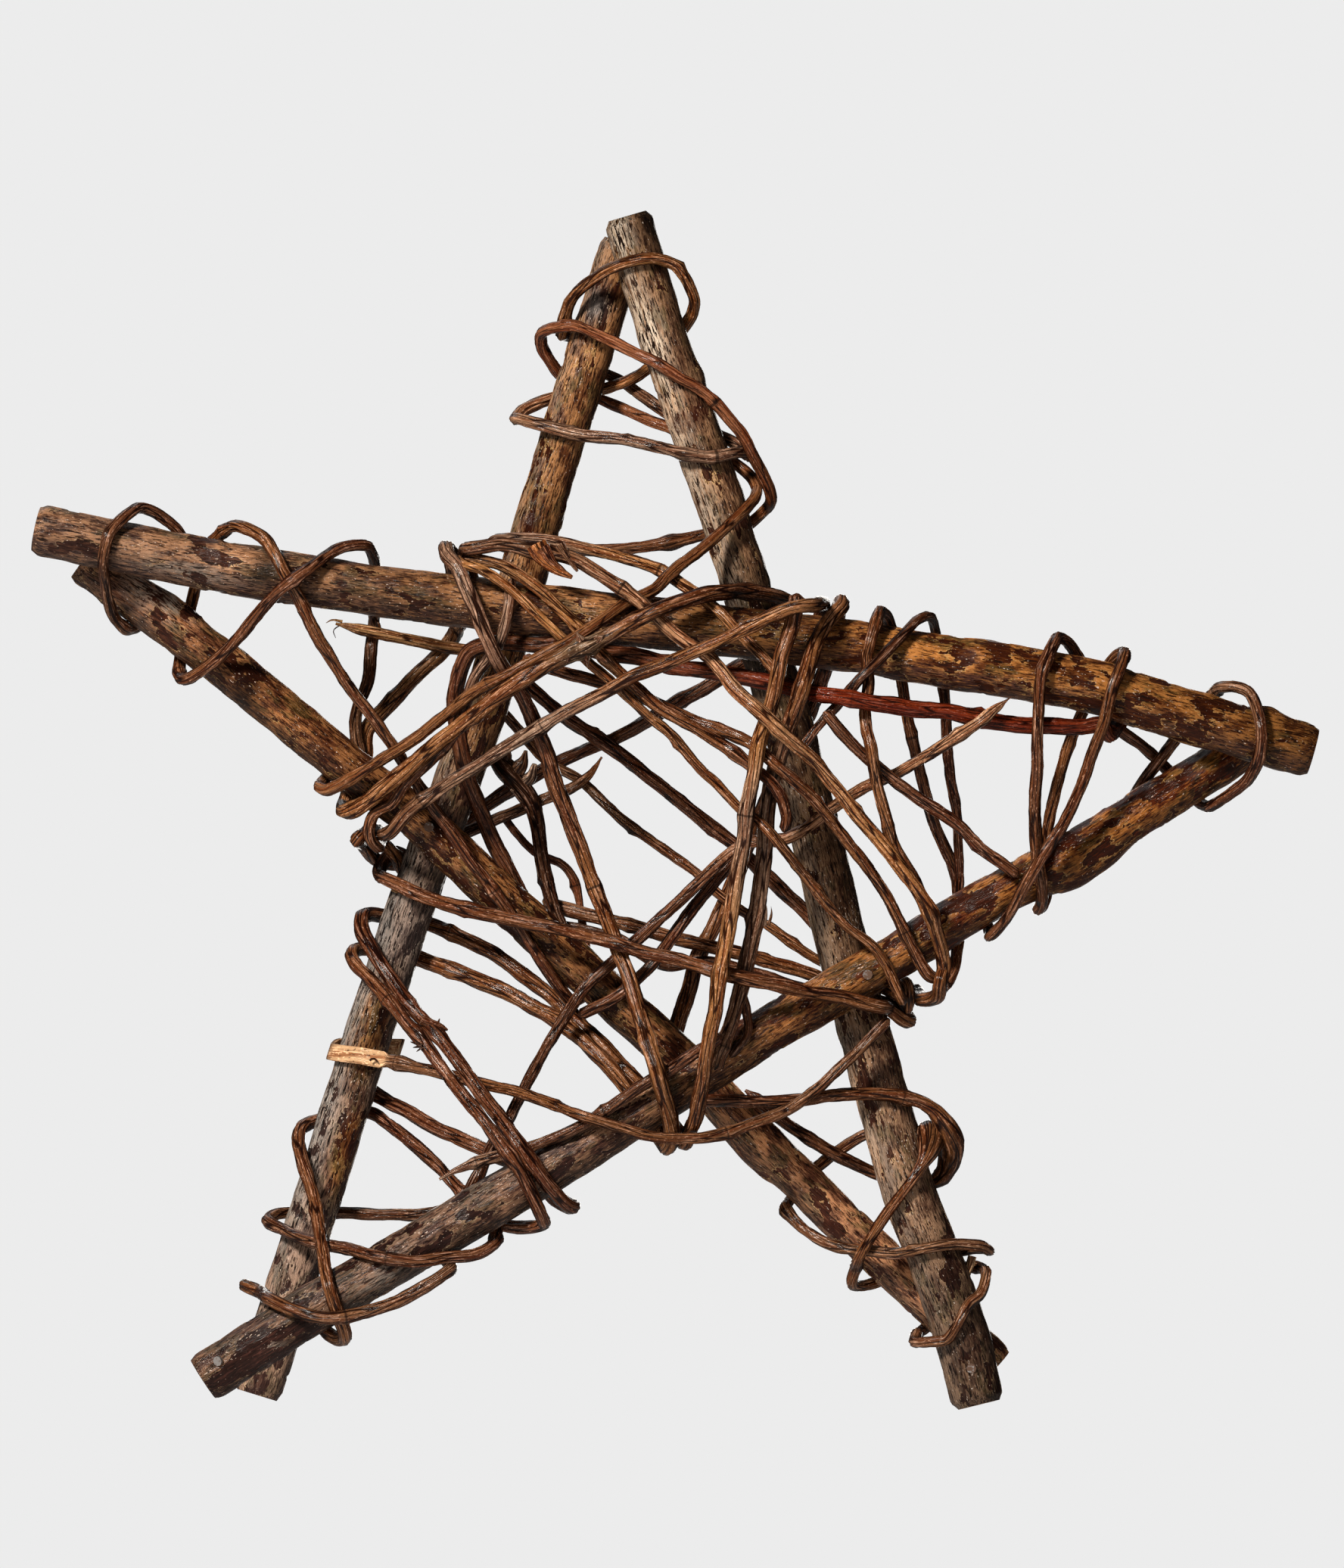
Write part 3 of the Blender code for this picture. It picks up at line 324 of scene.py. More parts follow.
# %% Read all the lines
vine_names, stick_names, nail_names = (
    [name for name in frame["nodes"] if name.endswith(kind)] for kind in ("_vine", "_stick", "_nail"))
vine_tubes = {name: vine_rings(name) for name in vine_names}
stick_lines = {name: stick_line(name) for name in stick_names}
print("vines:", len(vine_tubes))
print("thickness of the sticks at their ends, in mm:")
print({name: (radii[[0, -1]] * 2 / MM).round(1) for name, (_, radii) in stick_lines.items()})

# %% [markdown]
# ## Smooth lines
#
# The plain solids are cut into straight stretches, but wood bends smoothly. A curve that passes through
# every point, with its bends shared out by the distance between the points, gives back the springy line of a
# vine. We then walk along it in even steps, because the bark needs rings that are evenly spaced.

# %% Smooth and even out a line


def gaps_along(points):
    """The distances between the neighbouring points of a line."""
    return norm(np.diff(points, axis=0), axis=1)


def summed(gaps):
    """How far along a line each point is."""
    return np.concatenate([[0], np.cumsum(gaps)])


def smooth_line(points, step):
    """Evenly spaced places on a smooth curve through the given points, and how far along each is."""
    points = np.asarray(points, float)
    gaps = gaps_along(points)
    knots = summed(np.sqrt(gaps))
    slopes = np.gradient(points, knots, axis=0)
    fine = []
    for i, gap in enumerate(gaps):
        share = np.linspace(0, 1, max(3, int(gap / step) * 3), endpoint=False)[:, None]
        width = knots[i + 1] - knots[i]
        h1, h2 = 2 * share ** 3 - 3 * share ** 2 + 1, share ** 3 - 2 * share ** 2 + share
        h3, h4 = 3 * share ** 2 - 2 * share ** 3, share ** 3 - share ** 2
        fine.append(
            h1 * points[i] + h2 * width * slopes[i] + h3 * points[i + 1]
            + h4 * width * slopes[i + 1])
    fine = np.vstack(fine + [points[-1:]])
    ways = summed(gaps_along(fine))
    even = np.linspace(0, ways[-1], max(4, round(ways[-1] / step)))
    return np.column_stack([np.interp(even, ways, fine[:, k]) for k in range(3)]), even


# %% [markdown]
# ## Wood that grows along a line
#
# Sticks and vines are the same kind of thing: a round body that follows a line, with a bark that was
# stretched as it grew. We could push a cylinder along a curve and paint the rest, but grapevine has deep
# lengthwise ridges that catch the light, so they have to be real. A geometry tree does this for all of them.
# It sweeps a circle along the line, keeps for each point how far along and how far round it is, and pushes
# the surface in and out: into strips with grooves between them, into soft lumps, and into flakes where bark
# has come away. It stores its values on the surface, so that the materials can paint the same strips.

# %% The inputs of the wood tree
INPUTS = {
    "Sides": 16, "Strips": 1.6, "Strip Length": 0.03, "Strip Depth": 0.12, "Twist": 4.0, "Flake Size": 0.02,
    "Flake Stretch": 1.0, "Flake Depth": 0.0, "Lump Size": 0.02, "Lump Depth": 0.0, "Seed": 0.0,
}
wood_group = bpy.data.node_groups.new("wood_along_a_line", "GeometryNodeTree")
wood_group.is_modifier = True
wood_group.interface.new_socket("Geometry", in_out="INPUT", socket_type="NodeSocketGeometry")
for name, value in INPUTS.items():
    kind = "NodeSocketInt" if isinstance(value, int) else "NodeSocketFloat"
    wood_group.interface.new_socket(name, in_out="INPUT", socket_type=kind).default_value = value
wood_group.interface.new_socket("Material", in_out="INPUT", socket_type="NodeSocketMaterial")
wood_group.interface.new_socket("Geometry", in_out="OUTPUT", socket_type="NodeSocketGeometry")
wood = Tree(wood_group)
maths, vector = wood.maths, wood.vector
given = wood.add("NodeGroupInput").outputs
print("inputs:", [socket.name for socket in given if socket.name])

# %% Sweep a circle along the line


def stored(geometry, name, value, kind):
    """The geometry with a value kept on its points."""
    inputs = {"Geometry": geometry, "Name": name, "Value": value}
    return wood.add("GeometryNodeStoreNamedAttribute", inputs, data_type=kind).outputs[0]


def recalled(name, kind):
    """A value that was kept on the points."""
    return wood.add("GeometryNodeInputNamedAttribute", {"Name": name}, data_type=kind).outputs[0]


route = wood.add("GeometryNodeMeshToCurve", {"Mesh": given["Geometry"]}).outputs[0]
progress = wood.add("GeometryNodeSplineParameter").outputs
place = wood.add("GeometryNodeInputPosition").outputs[0]
route = stored(route, "along", progress["Length"], "FLOAT")
route = stored(route, "middle", place, "FLOAT_VECTOR")
unit_circle = {"Resolution": given["Sides"], "Radius": 1.0}
circle = wood.add("GeometryNodeCurvePrimitiveCircle", unit_circle).outputs[0]
circle = stored(circle, "turn", progress["Factor"], "FLOAT")
sweep = {"Curve": route, "Profile Curve": circle, "Scale": recalled("half", "FLOAT"), "Fill Caps": True}
tube = wood.add("GeometryNodeCurveToMesh", sweep).outputs[0]

# %% Straighten the piece
NOISE_ROUGHNESS, NOISE_SPREAD = 0.55, 4.0

outward = vector("SUBTRACT", place, recalled("middle", "FLOAT_VECTOR"))[0]
reach = vector("LENGTH", outward)["Value"]
direction = vector("NORMALIZE", outward)[0]
along = maths("ADD", recalled("along", "FLOAT"), given["Seed"])
angle = maths("MULTIPLY", recalled("along", "FLOAT"), given["Twist"])
angle = maths("MULTIPLY_ADD", recalled("turn", "FLOAT"), 2 * pi, angle)
cosine, sine = maths("COSINE", angle), maths("SINE", angle)


def place_for(across, size):
    """Places on the straightened piece: a circle of the given radius, and the length in the given size."""
    values = {"X": maths("MULTIPLY", cosine, across), "Y": maths("MULTIPLY", sine, across)}
    return wood.add("ShaderNodeCombineXYZ", {**values, "Z": maths("DIVIDE", along, size)}).outputs[0]


def bumps(size, detail, shift, stretch=1.0):
    """Noise from about -1 to 1, with bumps of the given size in metres, stretched lengthwise."""
    spot = place_for(maths("DIVIDE", reach, size), maths("MULTIPLY", size, stretch))
    spot = vector("ADD", spot, (shift, 0, 0))[0]
    noise = wood.noise(spot, 1.0, detail, NOISE_ROUGHNESS)[0]
    return maths("MULTIPLY_ADD", noise, NOISE_SPREAD, -NOISE_SPREAD / 2)


# %% Push the surface in and out
# How far from a groove a strip has its full height, and the share of the relief that stands proud there
CREST, CREST_RISE = 0.42, 0.75
# The noise above which a flake is loose, and above which it is off
LOOSE, OFF = 0.17, 0.25
# How far the noise of the lumps is moved, so that they don't follow the flakes
LUMP_SHIFT = 20.0

strips = wood.strips(place_for(given["Strips"], given["Strip Length"]))
groove = maths("SUBTRACT", 1.0, maths("MINIMUM", maths("DIVIDE", strips, CREST), 1.0))
crest = maths("SUBTRACT", CREST_RISE, maths("MULTIPLY", groove, groove))
flaking = bumps(given["Flake Size"], 5.0, 0.0, given["Flake Stretch"])
flaking = maths("ADD", flaking, recalled("peel", "FLOAT"))
peeled = wood.add("ShaderNodeMapRange", {"Value": flaking, "From Min": LOOSE, "From Max": OFF}).outputs[0]
push = maths("MULTIPLY", maths("MULTIPLY", crest, given["Strip Depth"]), reach)
push = maths("MULTIPLY_ADD", bumps(given["Lump Size"], 1.0, LUMP_SHIFT), given["Lump Depth"], push)
push = maths("SUBTRACT", push, maths("MULTIPLY", peeled, given["Flake Depth"]))

skin = stored(tube, "straight", place_for(reach, 1.0), "FLOAT_VECTOR")
skin = stored(skin, "around", place_for(1.0, 1.0), "FLOAT_VECTOR")
for kind, inputs in (
    ("GeometryNodeSetPosition", {"Offset": vector("SCALE", direction, Scale=push)[0]}),
    ("GeometryNodeSetShadeSmooth", {}),
    ("GeometryNodeRealizeInstances", {}),
    ("GeometryNodeSetMaterial", {"Material": given["Material"]}),
):
    skin = wood.add(kind, {"Geometry": skin, **inputs}).outputs[0]
wood.add("NodeGroupOutput", {"Geometry": skin})
print("the wood tree has", len(wood.nodes), "nodes")

# %% [markdown]
# ## Growing one piece
#
# The tree needs lines of points with a half thickness on each. We make those as a mesh of edges, hang the
# tree on it, set its inputs by their identifiers, and keep the evaluated result as a plain mesh. The end
# faces have many corners, so they are easy to find: they stay flat and take the material of cut wood.

# %% Values on a mesh


def write(mesh, label, numbers):
    """Changes the values of an attribute."""
    key = "value" if numbers.ndim == 1 else "vector"
    mesh.attributes[label].data.foreach_set(key, numbers.astype(np.float32).ravel())


def add_values(mesh, label, numbers):
    """Keeps a value, or a row of three, on the points of a mesh."""
    mesh.attributes.new(label, "FLOAT" if numbers.ndim == 1 else "FLOAT_VECTOR", "POINT")
    write(mesh, label, numbers)


# %% Grow a piece of wood
SIDE_CORNERS = 4


def thread_of(name, lines, values_on_lines):
    """A mesh of edges along the lines, with the values on its points."""
    thread = bpy.data.meshes.new(name + "_line")
    edges, first = [], 0
    for line in lines:
        edges += [(first + i, first + i + 1) for i in range(len(line) - 1)]
        first += len(line)
    thread.from_pydata([tuple(point) for line in lines for point in line], edges, [])
    for label, numbers in values_on_lines.items():
        add_values(thread, label, numbers)
    return thread


def grow(name, lines, values_on_lines, bark, cut, settings):
    """A finished piece of wood along one line or several, as an object with a plain mesh."""
    thread = thread_of(name, lines, values_on_lines)
    piece = placed(name, thread)
    modifier = piece.modifiers.new("wood", "NODES")
    modifier.node_group = wood_group
    chosen = {**settings, "Material": bark}
    for item in wood_group.interface.items_tree:
        if item.in_out == "INPUT" and item.name in chosen:
            modifier[item.identifier] = chosen[item.name]
    depsgraph = bpy.context.evaluated_depsgraph_get()
    mesh = bpy.data.meshes.new_from_object(piece.evaluated_get(depsgraph))
    piece.modifiers.clear()
    piece.data = mesh
    bpy.data.meshes.remove(thread)
    mesh.name = name
    mesh.materials.append(cut)
    for face in mesh.polygons:
        if face.loop_total > SIDE_CORNERS:
            face.material_index = 1
            face.use_smooth = False
    return piece


# %% [markdown]
# ## Helpers for materials
#
# Every material here is built from the same few steps: noise on the straightened piece, which follows the
# wood and has no seam, a value brought to a useful range, and one colour laid over what is there so far. A
# finish is a node tree, so it takes over the short calls from above and adds its own. The lacquer is a coat
# on the shader. It lies a little smoother than the bark under it, so it has weaker bumps.

# %% Steps of a material
DULL_SPECULAR = 0.02
FILM_BUMPS = 0.3
FILM_ROUGHNESS = 0.12


class Finish(Tree):
    """A material in the making, with the colour that it has so far."""

    def __init__(self, name):
        self.material = bpy.data.materials.new(name)
        self.material.use_nodes = True
        super().__init__(self.material.node_tree)
        self.shader = self.nodes["Principled BSDF"].inputs
        self.colour = None

    def mix(self, cover, under, over, way="MIX"):
        """One colour blended over another."""
        inputs = {0: cover}
        for index, colour in ((6, under), (7, over)):
            inputs[index] = colour if isinstance(colour, bpy.types.NodeSocket) else (*colour, 1)
        return self.add("ShaderNodeMix", inputs, data_type="RGBA", blend_type=way).outputs[2]

    def lay(self, cover, over, way="MIX"):
        """Lays a colour over the finish so far."""
        self.colour = self.mix(cover, self.colour, over, way)

    def kept(self, label, part="Fac"):
        """A value that the shape keeps on its surface."""
        return self.add("ShaderNodeAttribute", attribute_name=label).outputs[part]

    def scaled(self, colour, sizes):
        """A vector with each part multiplied."""
        return self.vector("MULTIPLY", colour, sizes)[0]

    def grain(self, wide, long, detail=3.0, rough=0.6):
        """Noise on the straightened piece, with grains of the given width and length in millimetres."""
        spot = self.scaled(self.kept("straight", "Vector"), (1 / MM / wide, 1 / MM / wide, 1 / MM / long))
        return self.noise(spot, 1.0, detail, rough)[0]

    def between(self, value, low, high, least=0.0, most=1.0):
        """A value brought smoothly from one range to another, and kept inside it."""
        inputs = {"Value": value, "From Min": low, "From Max": high, "To Min": least, "To Max": most}
        return self.add("ShaderNodeMapRange", inputs, interpolation_type="SMOOTHSTEP").outputs[0]

    def times(self, first, second):
        """Two values multiplied."""
        return self.maths("MULTIPLY", first, second)

    def bump(self, height, strength, distance):
        """The normal of a surface with bumps of the given height in millimetres."""
        inputs = {"Height": height, "Strength": strength, "Distance": distance * MM}
        return self.add("ShaderNodeBump", inputs).outputs[0]

    def done(self, roughness, height, strength, distance, coat=0.0):
        """The finished material, with its colour, roughness, bumps and lacquer on the shader."""
        self.join(self.colour, self.shader["Base Color"])
        self.join(roughness, self.shader["Roughness"])
        self.join(self.bump(height, strength, distance), self.shader["Normal"])
        self.join(self.bump(height, FILM_BUMPS, distance), self.shader["Coat Normal"])
        self.shader["Specular IOR Level"].default_value = DULL_SPECULAR
        self.shader["Coat Weight"].default_value = coat
        self.shader["Coat Roughness"].default_value = FILM_ROUGHNESS
        return self.material


# %% [markdown]
# ## Bark of the sticks
#
# The sticks keep their bark, under a thin clear lacquer. Each has its own colours: ochre and tan on the
# right, grey and cream on the legs. The look has several layers. Broad blotches of ochre, brown and olive
# come first. Bark turned to the upper left, towards the key lamp, is cream: partly weathering and partly
# painted light. The side turned away from the lamp is a dull purple brown, which is painted shade. Short
# dark flecks run lengthwise, packed where the bark is cream and sparse elsewhere. Flakes of outer bark have
# come away and show a dark red-brown skin with a pale torn lip. Painted glints stand for bright grains of
# lacquer. All of it is noise on the straightened piece, and the flakes use the same noise as the shape, so
# paint and relief agree.

# %% The bark material
INNER_BARK, DARK_FLECK, TORN_LIP = (0.030, 0.007, 0.003), (0.010, 0.004, 0.002), (0.50, 0.30, 0.12)
# The colour of painted glints, pale specks that stand for bright grains of lacquer
OLIVE, PAINTED_GLINT_COLOUR = (0.075, 0.048, 0.014), (0.80, 0.74, 0.66)
BARK_COAT = 0.12
FLAKE_SIZE, FLAKE_STRETCH = 7.5, 1.9
# How strongly the values kept on the surface shift the noise of the flakes, the flecks and the painted
# glints
PEEL_SHIFT, WEATHERED_AND_LIT_SHIFT, PAINTED_GLINT_SHIFT = 0.25, -0.065, 0.13
FLECK_LEVEL = 0.595


def stick_bark(name, pale, mid, cream_side, under, flecks):
    """Mottled bark. The flecks go from 0 to 1."""
    bark = Finish(name)
    # Blotches
    blotch = bark.grain(6, 13, 5.0, 0.62)
    bark.colour = bark.mix(bark.between(blotch, 0.42, 0.56), mid, pale)
    bark.lay(bark.between(bark.grain(8, 18, 4.0), 0.53, 0.61, 0.0, 0.7), OLIVE)
    # Painted shade on the side away from the key lamp, and the cream side towards it, weathered and painted
    # lighter
    bark.lay(bark.between(bark.kept("under"), 0.30, 0.85, 0.0, 0.8), under)
    fading = bark.between(bark.grain(2.0, 16, 4.0), 0.33, 0.54)
    bark.lay(bark.times(fading, bark.kept("weather")), cream_side)
    # Fine grain
    fine = bark.grain(0.8, 4.5, 4.0, 0.7)
    bark.lay(bark.between(fine, 0.36, 0.50, 0.95, 0.0), mid, "MULTIPLY")
    bark.lay(bark.between(fine, 0.52, 0.64, 0.0, 0.6), pale)
    # Flakes that have come away, with a torn lip
    flake = bark.grain(FLAKE_SIZE, FLAKE_SIZE * FLAKE_STRETCH, 5.0, 0.55)
    flake = bark.maths("MULTIPLY_ADD", bark.kept("peel"), PEEL_SHIFT, flake)
    lip = bark.times(bark.between(flake, 0.530, 0.546), bark.between(blotch, 0.42, 0.60, 0.0, 0.7))
    bark.lay(lip, TORN_LIP)
    inner = bark.mix(bark.between(bark.grain(1.0, 6), 0.48, 0.66, 0.0, 0.9), INNER_BARK, mid)
    bark.lay(bark.between(flake, 0.548, 0.556), inner)
    # Dark splits and flecks
    bark.lay(bark.between(bark.grain(1.8, 10, 4.0, 0.62), 0.62, 0.65, 0.0, 0.9), INNER_BARK)
    wanted = bark.maths("MULTIPLY_ADD", bark.kept("weather"), WEATHERED_AND_LIT_SHIFT, FLECK_LEVEL)
    fleck = bark.between(bark.maths("SUBTRACT", bark.grain(0.65, 5.2), wanted), 0.0, 0.02, 0.0, flecks)
    bark.lay(fleck, DARK_FLECK)
    knot = bark.between(bark.kept("knot"), 0.45, 0.75)
    bark.lay(bark.times(knot, bark.between(fine, 0.4, 0.6, 0.9, 0.3)), INNER_BARK)
    # Darker and greyer stretches: darker bark, painted shadow where other pieces cross, and painted light
    light = bark.between(bark.kept("shade"), -0.5, 1.0, 1.35, 0.2)
    rich = bark.between(bark.kept("grey"), 0.0, 1.0, 1.04, 0.35)
    shaded = bark.vector("SCALE", bark.colour, Scale=light)[0]
    bark.colour = bark.add("ShaderNodeHueSaturation", {"Saturation": rich, "Color": shaded}).outputs[0]
    # Painted glints: pale specks that stand for bright grains of lacquer
    painted_glint_noise = bark.maths("MULTIPLY_ADD", bark.kept("glint"), PAINTED_GLINT_SHIFT, bark.grain(0.60, 1.4, 2.0))
    bark.lay(bark.between(painted_glint_noise, 0.70, 0.74, 0.0, 0.9), bark.mix(0.5, pale, PAINTED_GLINT_COLOUR))
    roughness = bark.between(bark.grain(1.5, 3), 0.35, 0.65, 0.62, 0.85)
    return bark.done(roughness, bark.maths("MULTIPLY_ADD", fleck, -0.5, fine), 1.0, 1.6, BARK_COAT)


# %% The five barks
# Cream of weathered bark, which is also painted light on the side towards the key lamp
CREAM, GREY_CREAM = (0.66, 0.53, 0.40), (0.36, 0.295, 0.235)
# Colours of the painted shade on the side of a stick away from the key lamp
PURPLE, DARK_BROWN = (0.055, 0.026, 0.022), (0.036, 0.015, 0.007)
# Each stick's pale and middle colour, the colour of its cream side, weathered and painted lighter, the
# colour of its painted shade on the side away from the key lamp, and how many flecks it has
BARK_COLOURS = {
    "level": ((0.40, 0.165, 0.052), (0.092, 0.027, 0.008), GREY_CREAM, PURPLE, 0.9),
    "right_leg": ((0.27, 0.138, 0.066), (0.085, 0.034, 0.015), CREAM, DARK_BROWN, 1),
    "left_leg": ((0.33, 0.150, 0.058), (0.092, 0.029, 0.010), GREY_CREAM, DARK_BROWN, 1),
    "left_brace": ((0.36, 0.148, 0.055), (0.092, 0.028, 0.011), GREY_CREAM, DARK_BROWN, 0.9),
    "right_brace": ((0.40, 0.155, 0.045), (0.095, 0.019, 0.006), GREY_CREAM, DARK_BROWN, 0.7),
}
BARKS = {stick: stick_bark(stick + "_bark", *look) for stick, look in BARK_COLOURS.items()}
print("barks:", list(BARKS))

# %% [markdown]
# ## Sawn ends
#
# A sawn end is pale wood with the rings of its growth, a dark pith, and fine marks of the saw. The flat end
# knows its place on the straightened stick, so the distance from the middle gives the rings.

# %% The material of a sawn end
RING_RATE = 6000.0
RING_BEND = 0.0012
PITH = 0.0012


def sawn_wood(name, pale, dark):
    """End grain with rings that are about a millimetre apart."""
    end = Finish(name)
    flat = end.scaled(end.kept("straight", "Vector"), (1, 1, 0))
    bend = end.scaled(end.noise(flat, 160.0, 2.0)["Color"], (RING_BEND, RING_BEND, 0.0))
    flat = end.vector("ADD", flat, bend)[0]
    away = end.vector("LENGTH", flat)["Value"]
    ring = end.maths("SINE", end.times(away, RING_RATE))
    saw = end.noise(flat, 900.0, 3.0)[0]
    end.colour = end.mix(end.between(ring, -0.6, 1.0, 0.1, 0.6), pale, dark)
    end.lay(end.between(saw, 0.45, 0.7, 0.0, 0.7), dark)
    end.lay(end.between(away, PITH, PITH / 2), DARK_FLECK)
    return end.done(end.between(saw, 0.3, 0.7, 0.6, 0.85), saw, 0.6, 0.8)


SAWN = sawn_wood("sawn_end", (0.34, 0.26, 0.19), (0.13, 0.08, 0.05))
VINE_END = sawn_wood("vine_end", (0.30, 0.20, 0.13), (0.12, 0.07, 0.04))

# %% [markdown]
# ## How each stick has aged, and where it is painted darker or lighter
#
# One pattern for all five sticks would look printed, so each has its own story along its length. Four
# tables say how strongly it has weathered, which also sets how much its side towards the key lamp is painted
# lighter, how dark it is, partly with painted shadow and painted light, how grey it is and how much outer
# bark has come off, as stops: a share of the length and the amount there. We could paint such values by
# hand on the mesh, but a table is easier to read and to change.

# %% Values along the sticks
# How strongly each stick has weathered, which also sets how much its side towards the key lamp is painted
# lighter
WEATHER_AND_LIGHT = {
    "level": {0: 0.5, 0.2: 0.5, 0.3: 0.35, 0.5: 0.4, 0.7: 0.1, 1: 0.1},
    "right_leg": {0: 1.0, 0.06: 1.0, 0.3: 1.0, 0.36: 0.4, 0.7: 0.5, 0.85: 0.35, 1: 0.1},
    "left_leg": {0: 0.4, 0.15: 0.3, 0.4: 0.3, 0.55: 0.7, 0.85: 0.55, 0.92: 0.2, 1: 0.1},
    "left_brace": {0: 0.5, 0.1: 0.2, 0.3: 0.3, 0.6: 0.3, 0.8: 0.5, 1: 0.4},
    "right_brace": {0: 0.05, 0.5: 0.1, 0.7: 0.5, 0.9: 0.4, 1: 0.2},
}
# How dark each stick is: partly darker bark, partly painted shadow where another piece crosses it, and,
# below zero, partly painted light
SHADES = {
    "level": {
        0: 0.35, 0.1: 0.3, 0.18: 0.35, 0.3: 0.45, 0.44: 0.1, 0.48: 0.3, 0.54: 0.6, 0.59: 0.5, 0.63: 0.0,
        0.75: -0.05, 0.88: 0.25, 0.94: 0.4, 1: 0.6,
    },
    "right_leg": {
        0: 0.4, 0.1: 0.0, 0.28: -0.05, 0.33: 0.9, 0.38: 0.8, 0.42: 0.4, 0.6: 0.4, 0.8: -0.1, 0.9: 0.3,
        1: 0.55,
    },
    "left_leg": {0: 0.2, 0.15: 0.1, 0.3: 0.2, 0.5: 0.35, 0.65: 0.25, 0.9: 0.0, 1: 0.0},
    "left_brace": {0: 0.25, 0.12: 0.3, 0.3: 0.35, 0.6: 0.3, 0.78: -0.4, 0.9: -0.4, 1: -0.1},
    "right_brace": {0: 0.35, 0.12: 0.25, 0.3: 0.25, 0.5: 0.3, 0.7: 0.5, 0.85: 0.55, 1: 0.5},
}
# How grey each stick is
GREYS = {
    "level": {0: 0.35, 0.2: 0.3, 0.35: 0.2, 0.5: 0.15, 0.65: 0, 1: 0},
    "right_leg": {0: 0.2, 0.3: 0.2, 0.5: 0.2, 0.8: 0.3, 1: 0.35},
    "left_leg": {0: 0.15, 0.4: 0.1, 0.6: 0.7, 0.85: 0.55, 1: 0.45},
    "left_brace": {0: 0.3, 0.2: 0.1, 0.5: 0.1, 0.8: 0.25, 1: 0.25},
    "right_brace": {0: 0, 0.3: 0.1, 0.45: 0.15, 0.65: 0.4, 1: 0.4},
}
# How much outer bark has come off: below zero for less, above zero for more
PEELING = {
    "level": {0: -0.18, 0.4: -0.12, 0.6: 0.0, 0.75: 0.05, 0.93: 0.08, 1: -0.25},
    "right_leg": {0: -0.25, 0.4: -0.15, 1: -0.2},
    "left_leg": {0: -0.2, 0.6: -0.2, 1: -0.1},
    "left_brace": {0: -0.1, 0.3: 0.0, 0.6: -0.1, 0.8: 0.0, 1: 0.05},
    "right_brace": {0: 0.12, 0.35: 0.12, 0.5: -0.1, 0.8: -0.05, 1: 0.2},
}
ALONG_STICKS = {"worn": WEATHER_AND_LIGHT, "shade": SHADES, "grey": GREYS, "peel": PEELING}
print("values along the sticks:", list(ALONG_STICKS))

# %% [markdown]
# ## Burls, marks and glints
#
# Some things have their one place on a stick: a burl where a side shoot healed over, the largest patches of
# bare or bleached bark, dark stains and painted shadows, a cluster of painted glints that stand for bright
# grains of lacquer. They are named by their place on the drawing and stand on the side that shows there.
# Each stick also has its own side that gets painted shade, the one turned away from the key lamp, and sawn
# ends whose rim is rounded off more or less.

# %% Places on the sticks
# Burls and knots: place on the drawing, radius and height in millimetres
BURLS = {
    "level": [(900, 795, 6, 1.2), (1310, 850, 10, 0.8), (380, 745, 7, 0.9), (1676, 935, 6, 2.8)],
    "right_leg": [(926, 490, 5, 1.2), (900, 560, 6, 1.0), (1175, 1390, 7, 1.0)],
    "left_leg": [(700, 690, 6, 0.9), (575, 1120, 8, 0.9)],
    "left_brace": [
        (968, 1535, 11, 2.6), (1000, 1560, 7, 1.6), (205, 790, 8, 2.0), (243, 776, 5, 3.4),
        (262, 800, 5, 2.0), (320, 900, 9, 1.8),
    ],
    "right_brace": [(1425, 1168, 13, 4.0), (1470, 1140, 8, 1.4), (1000, 1360, 7, 1.0)],
}
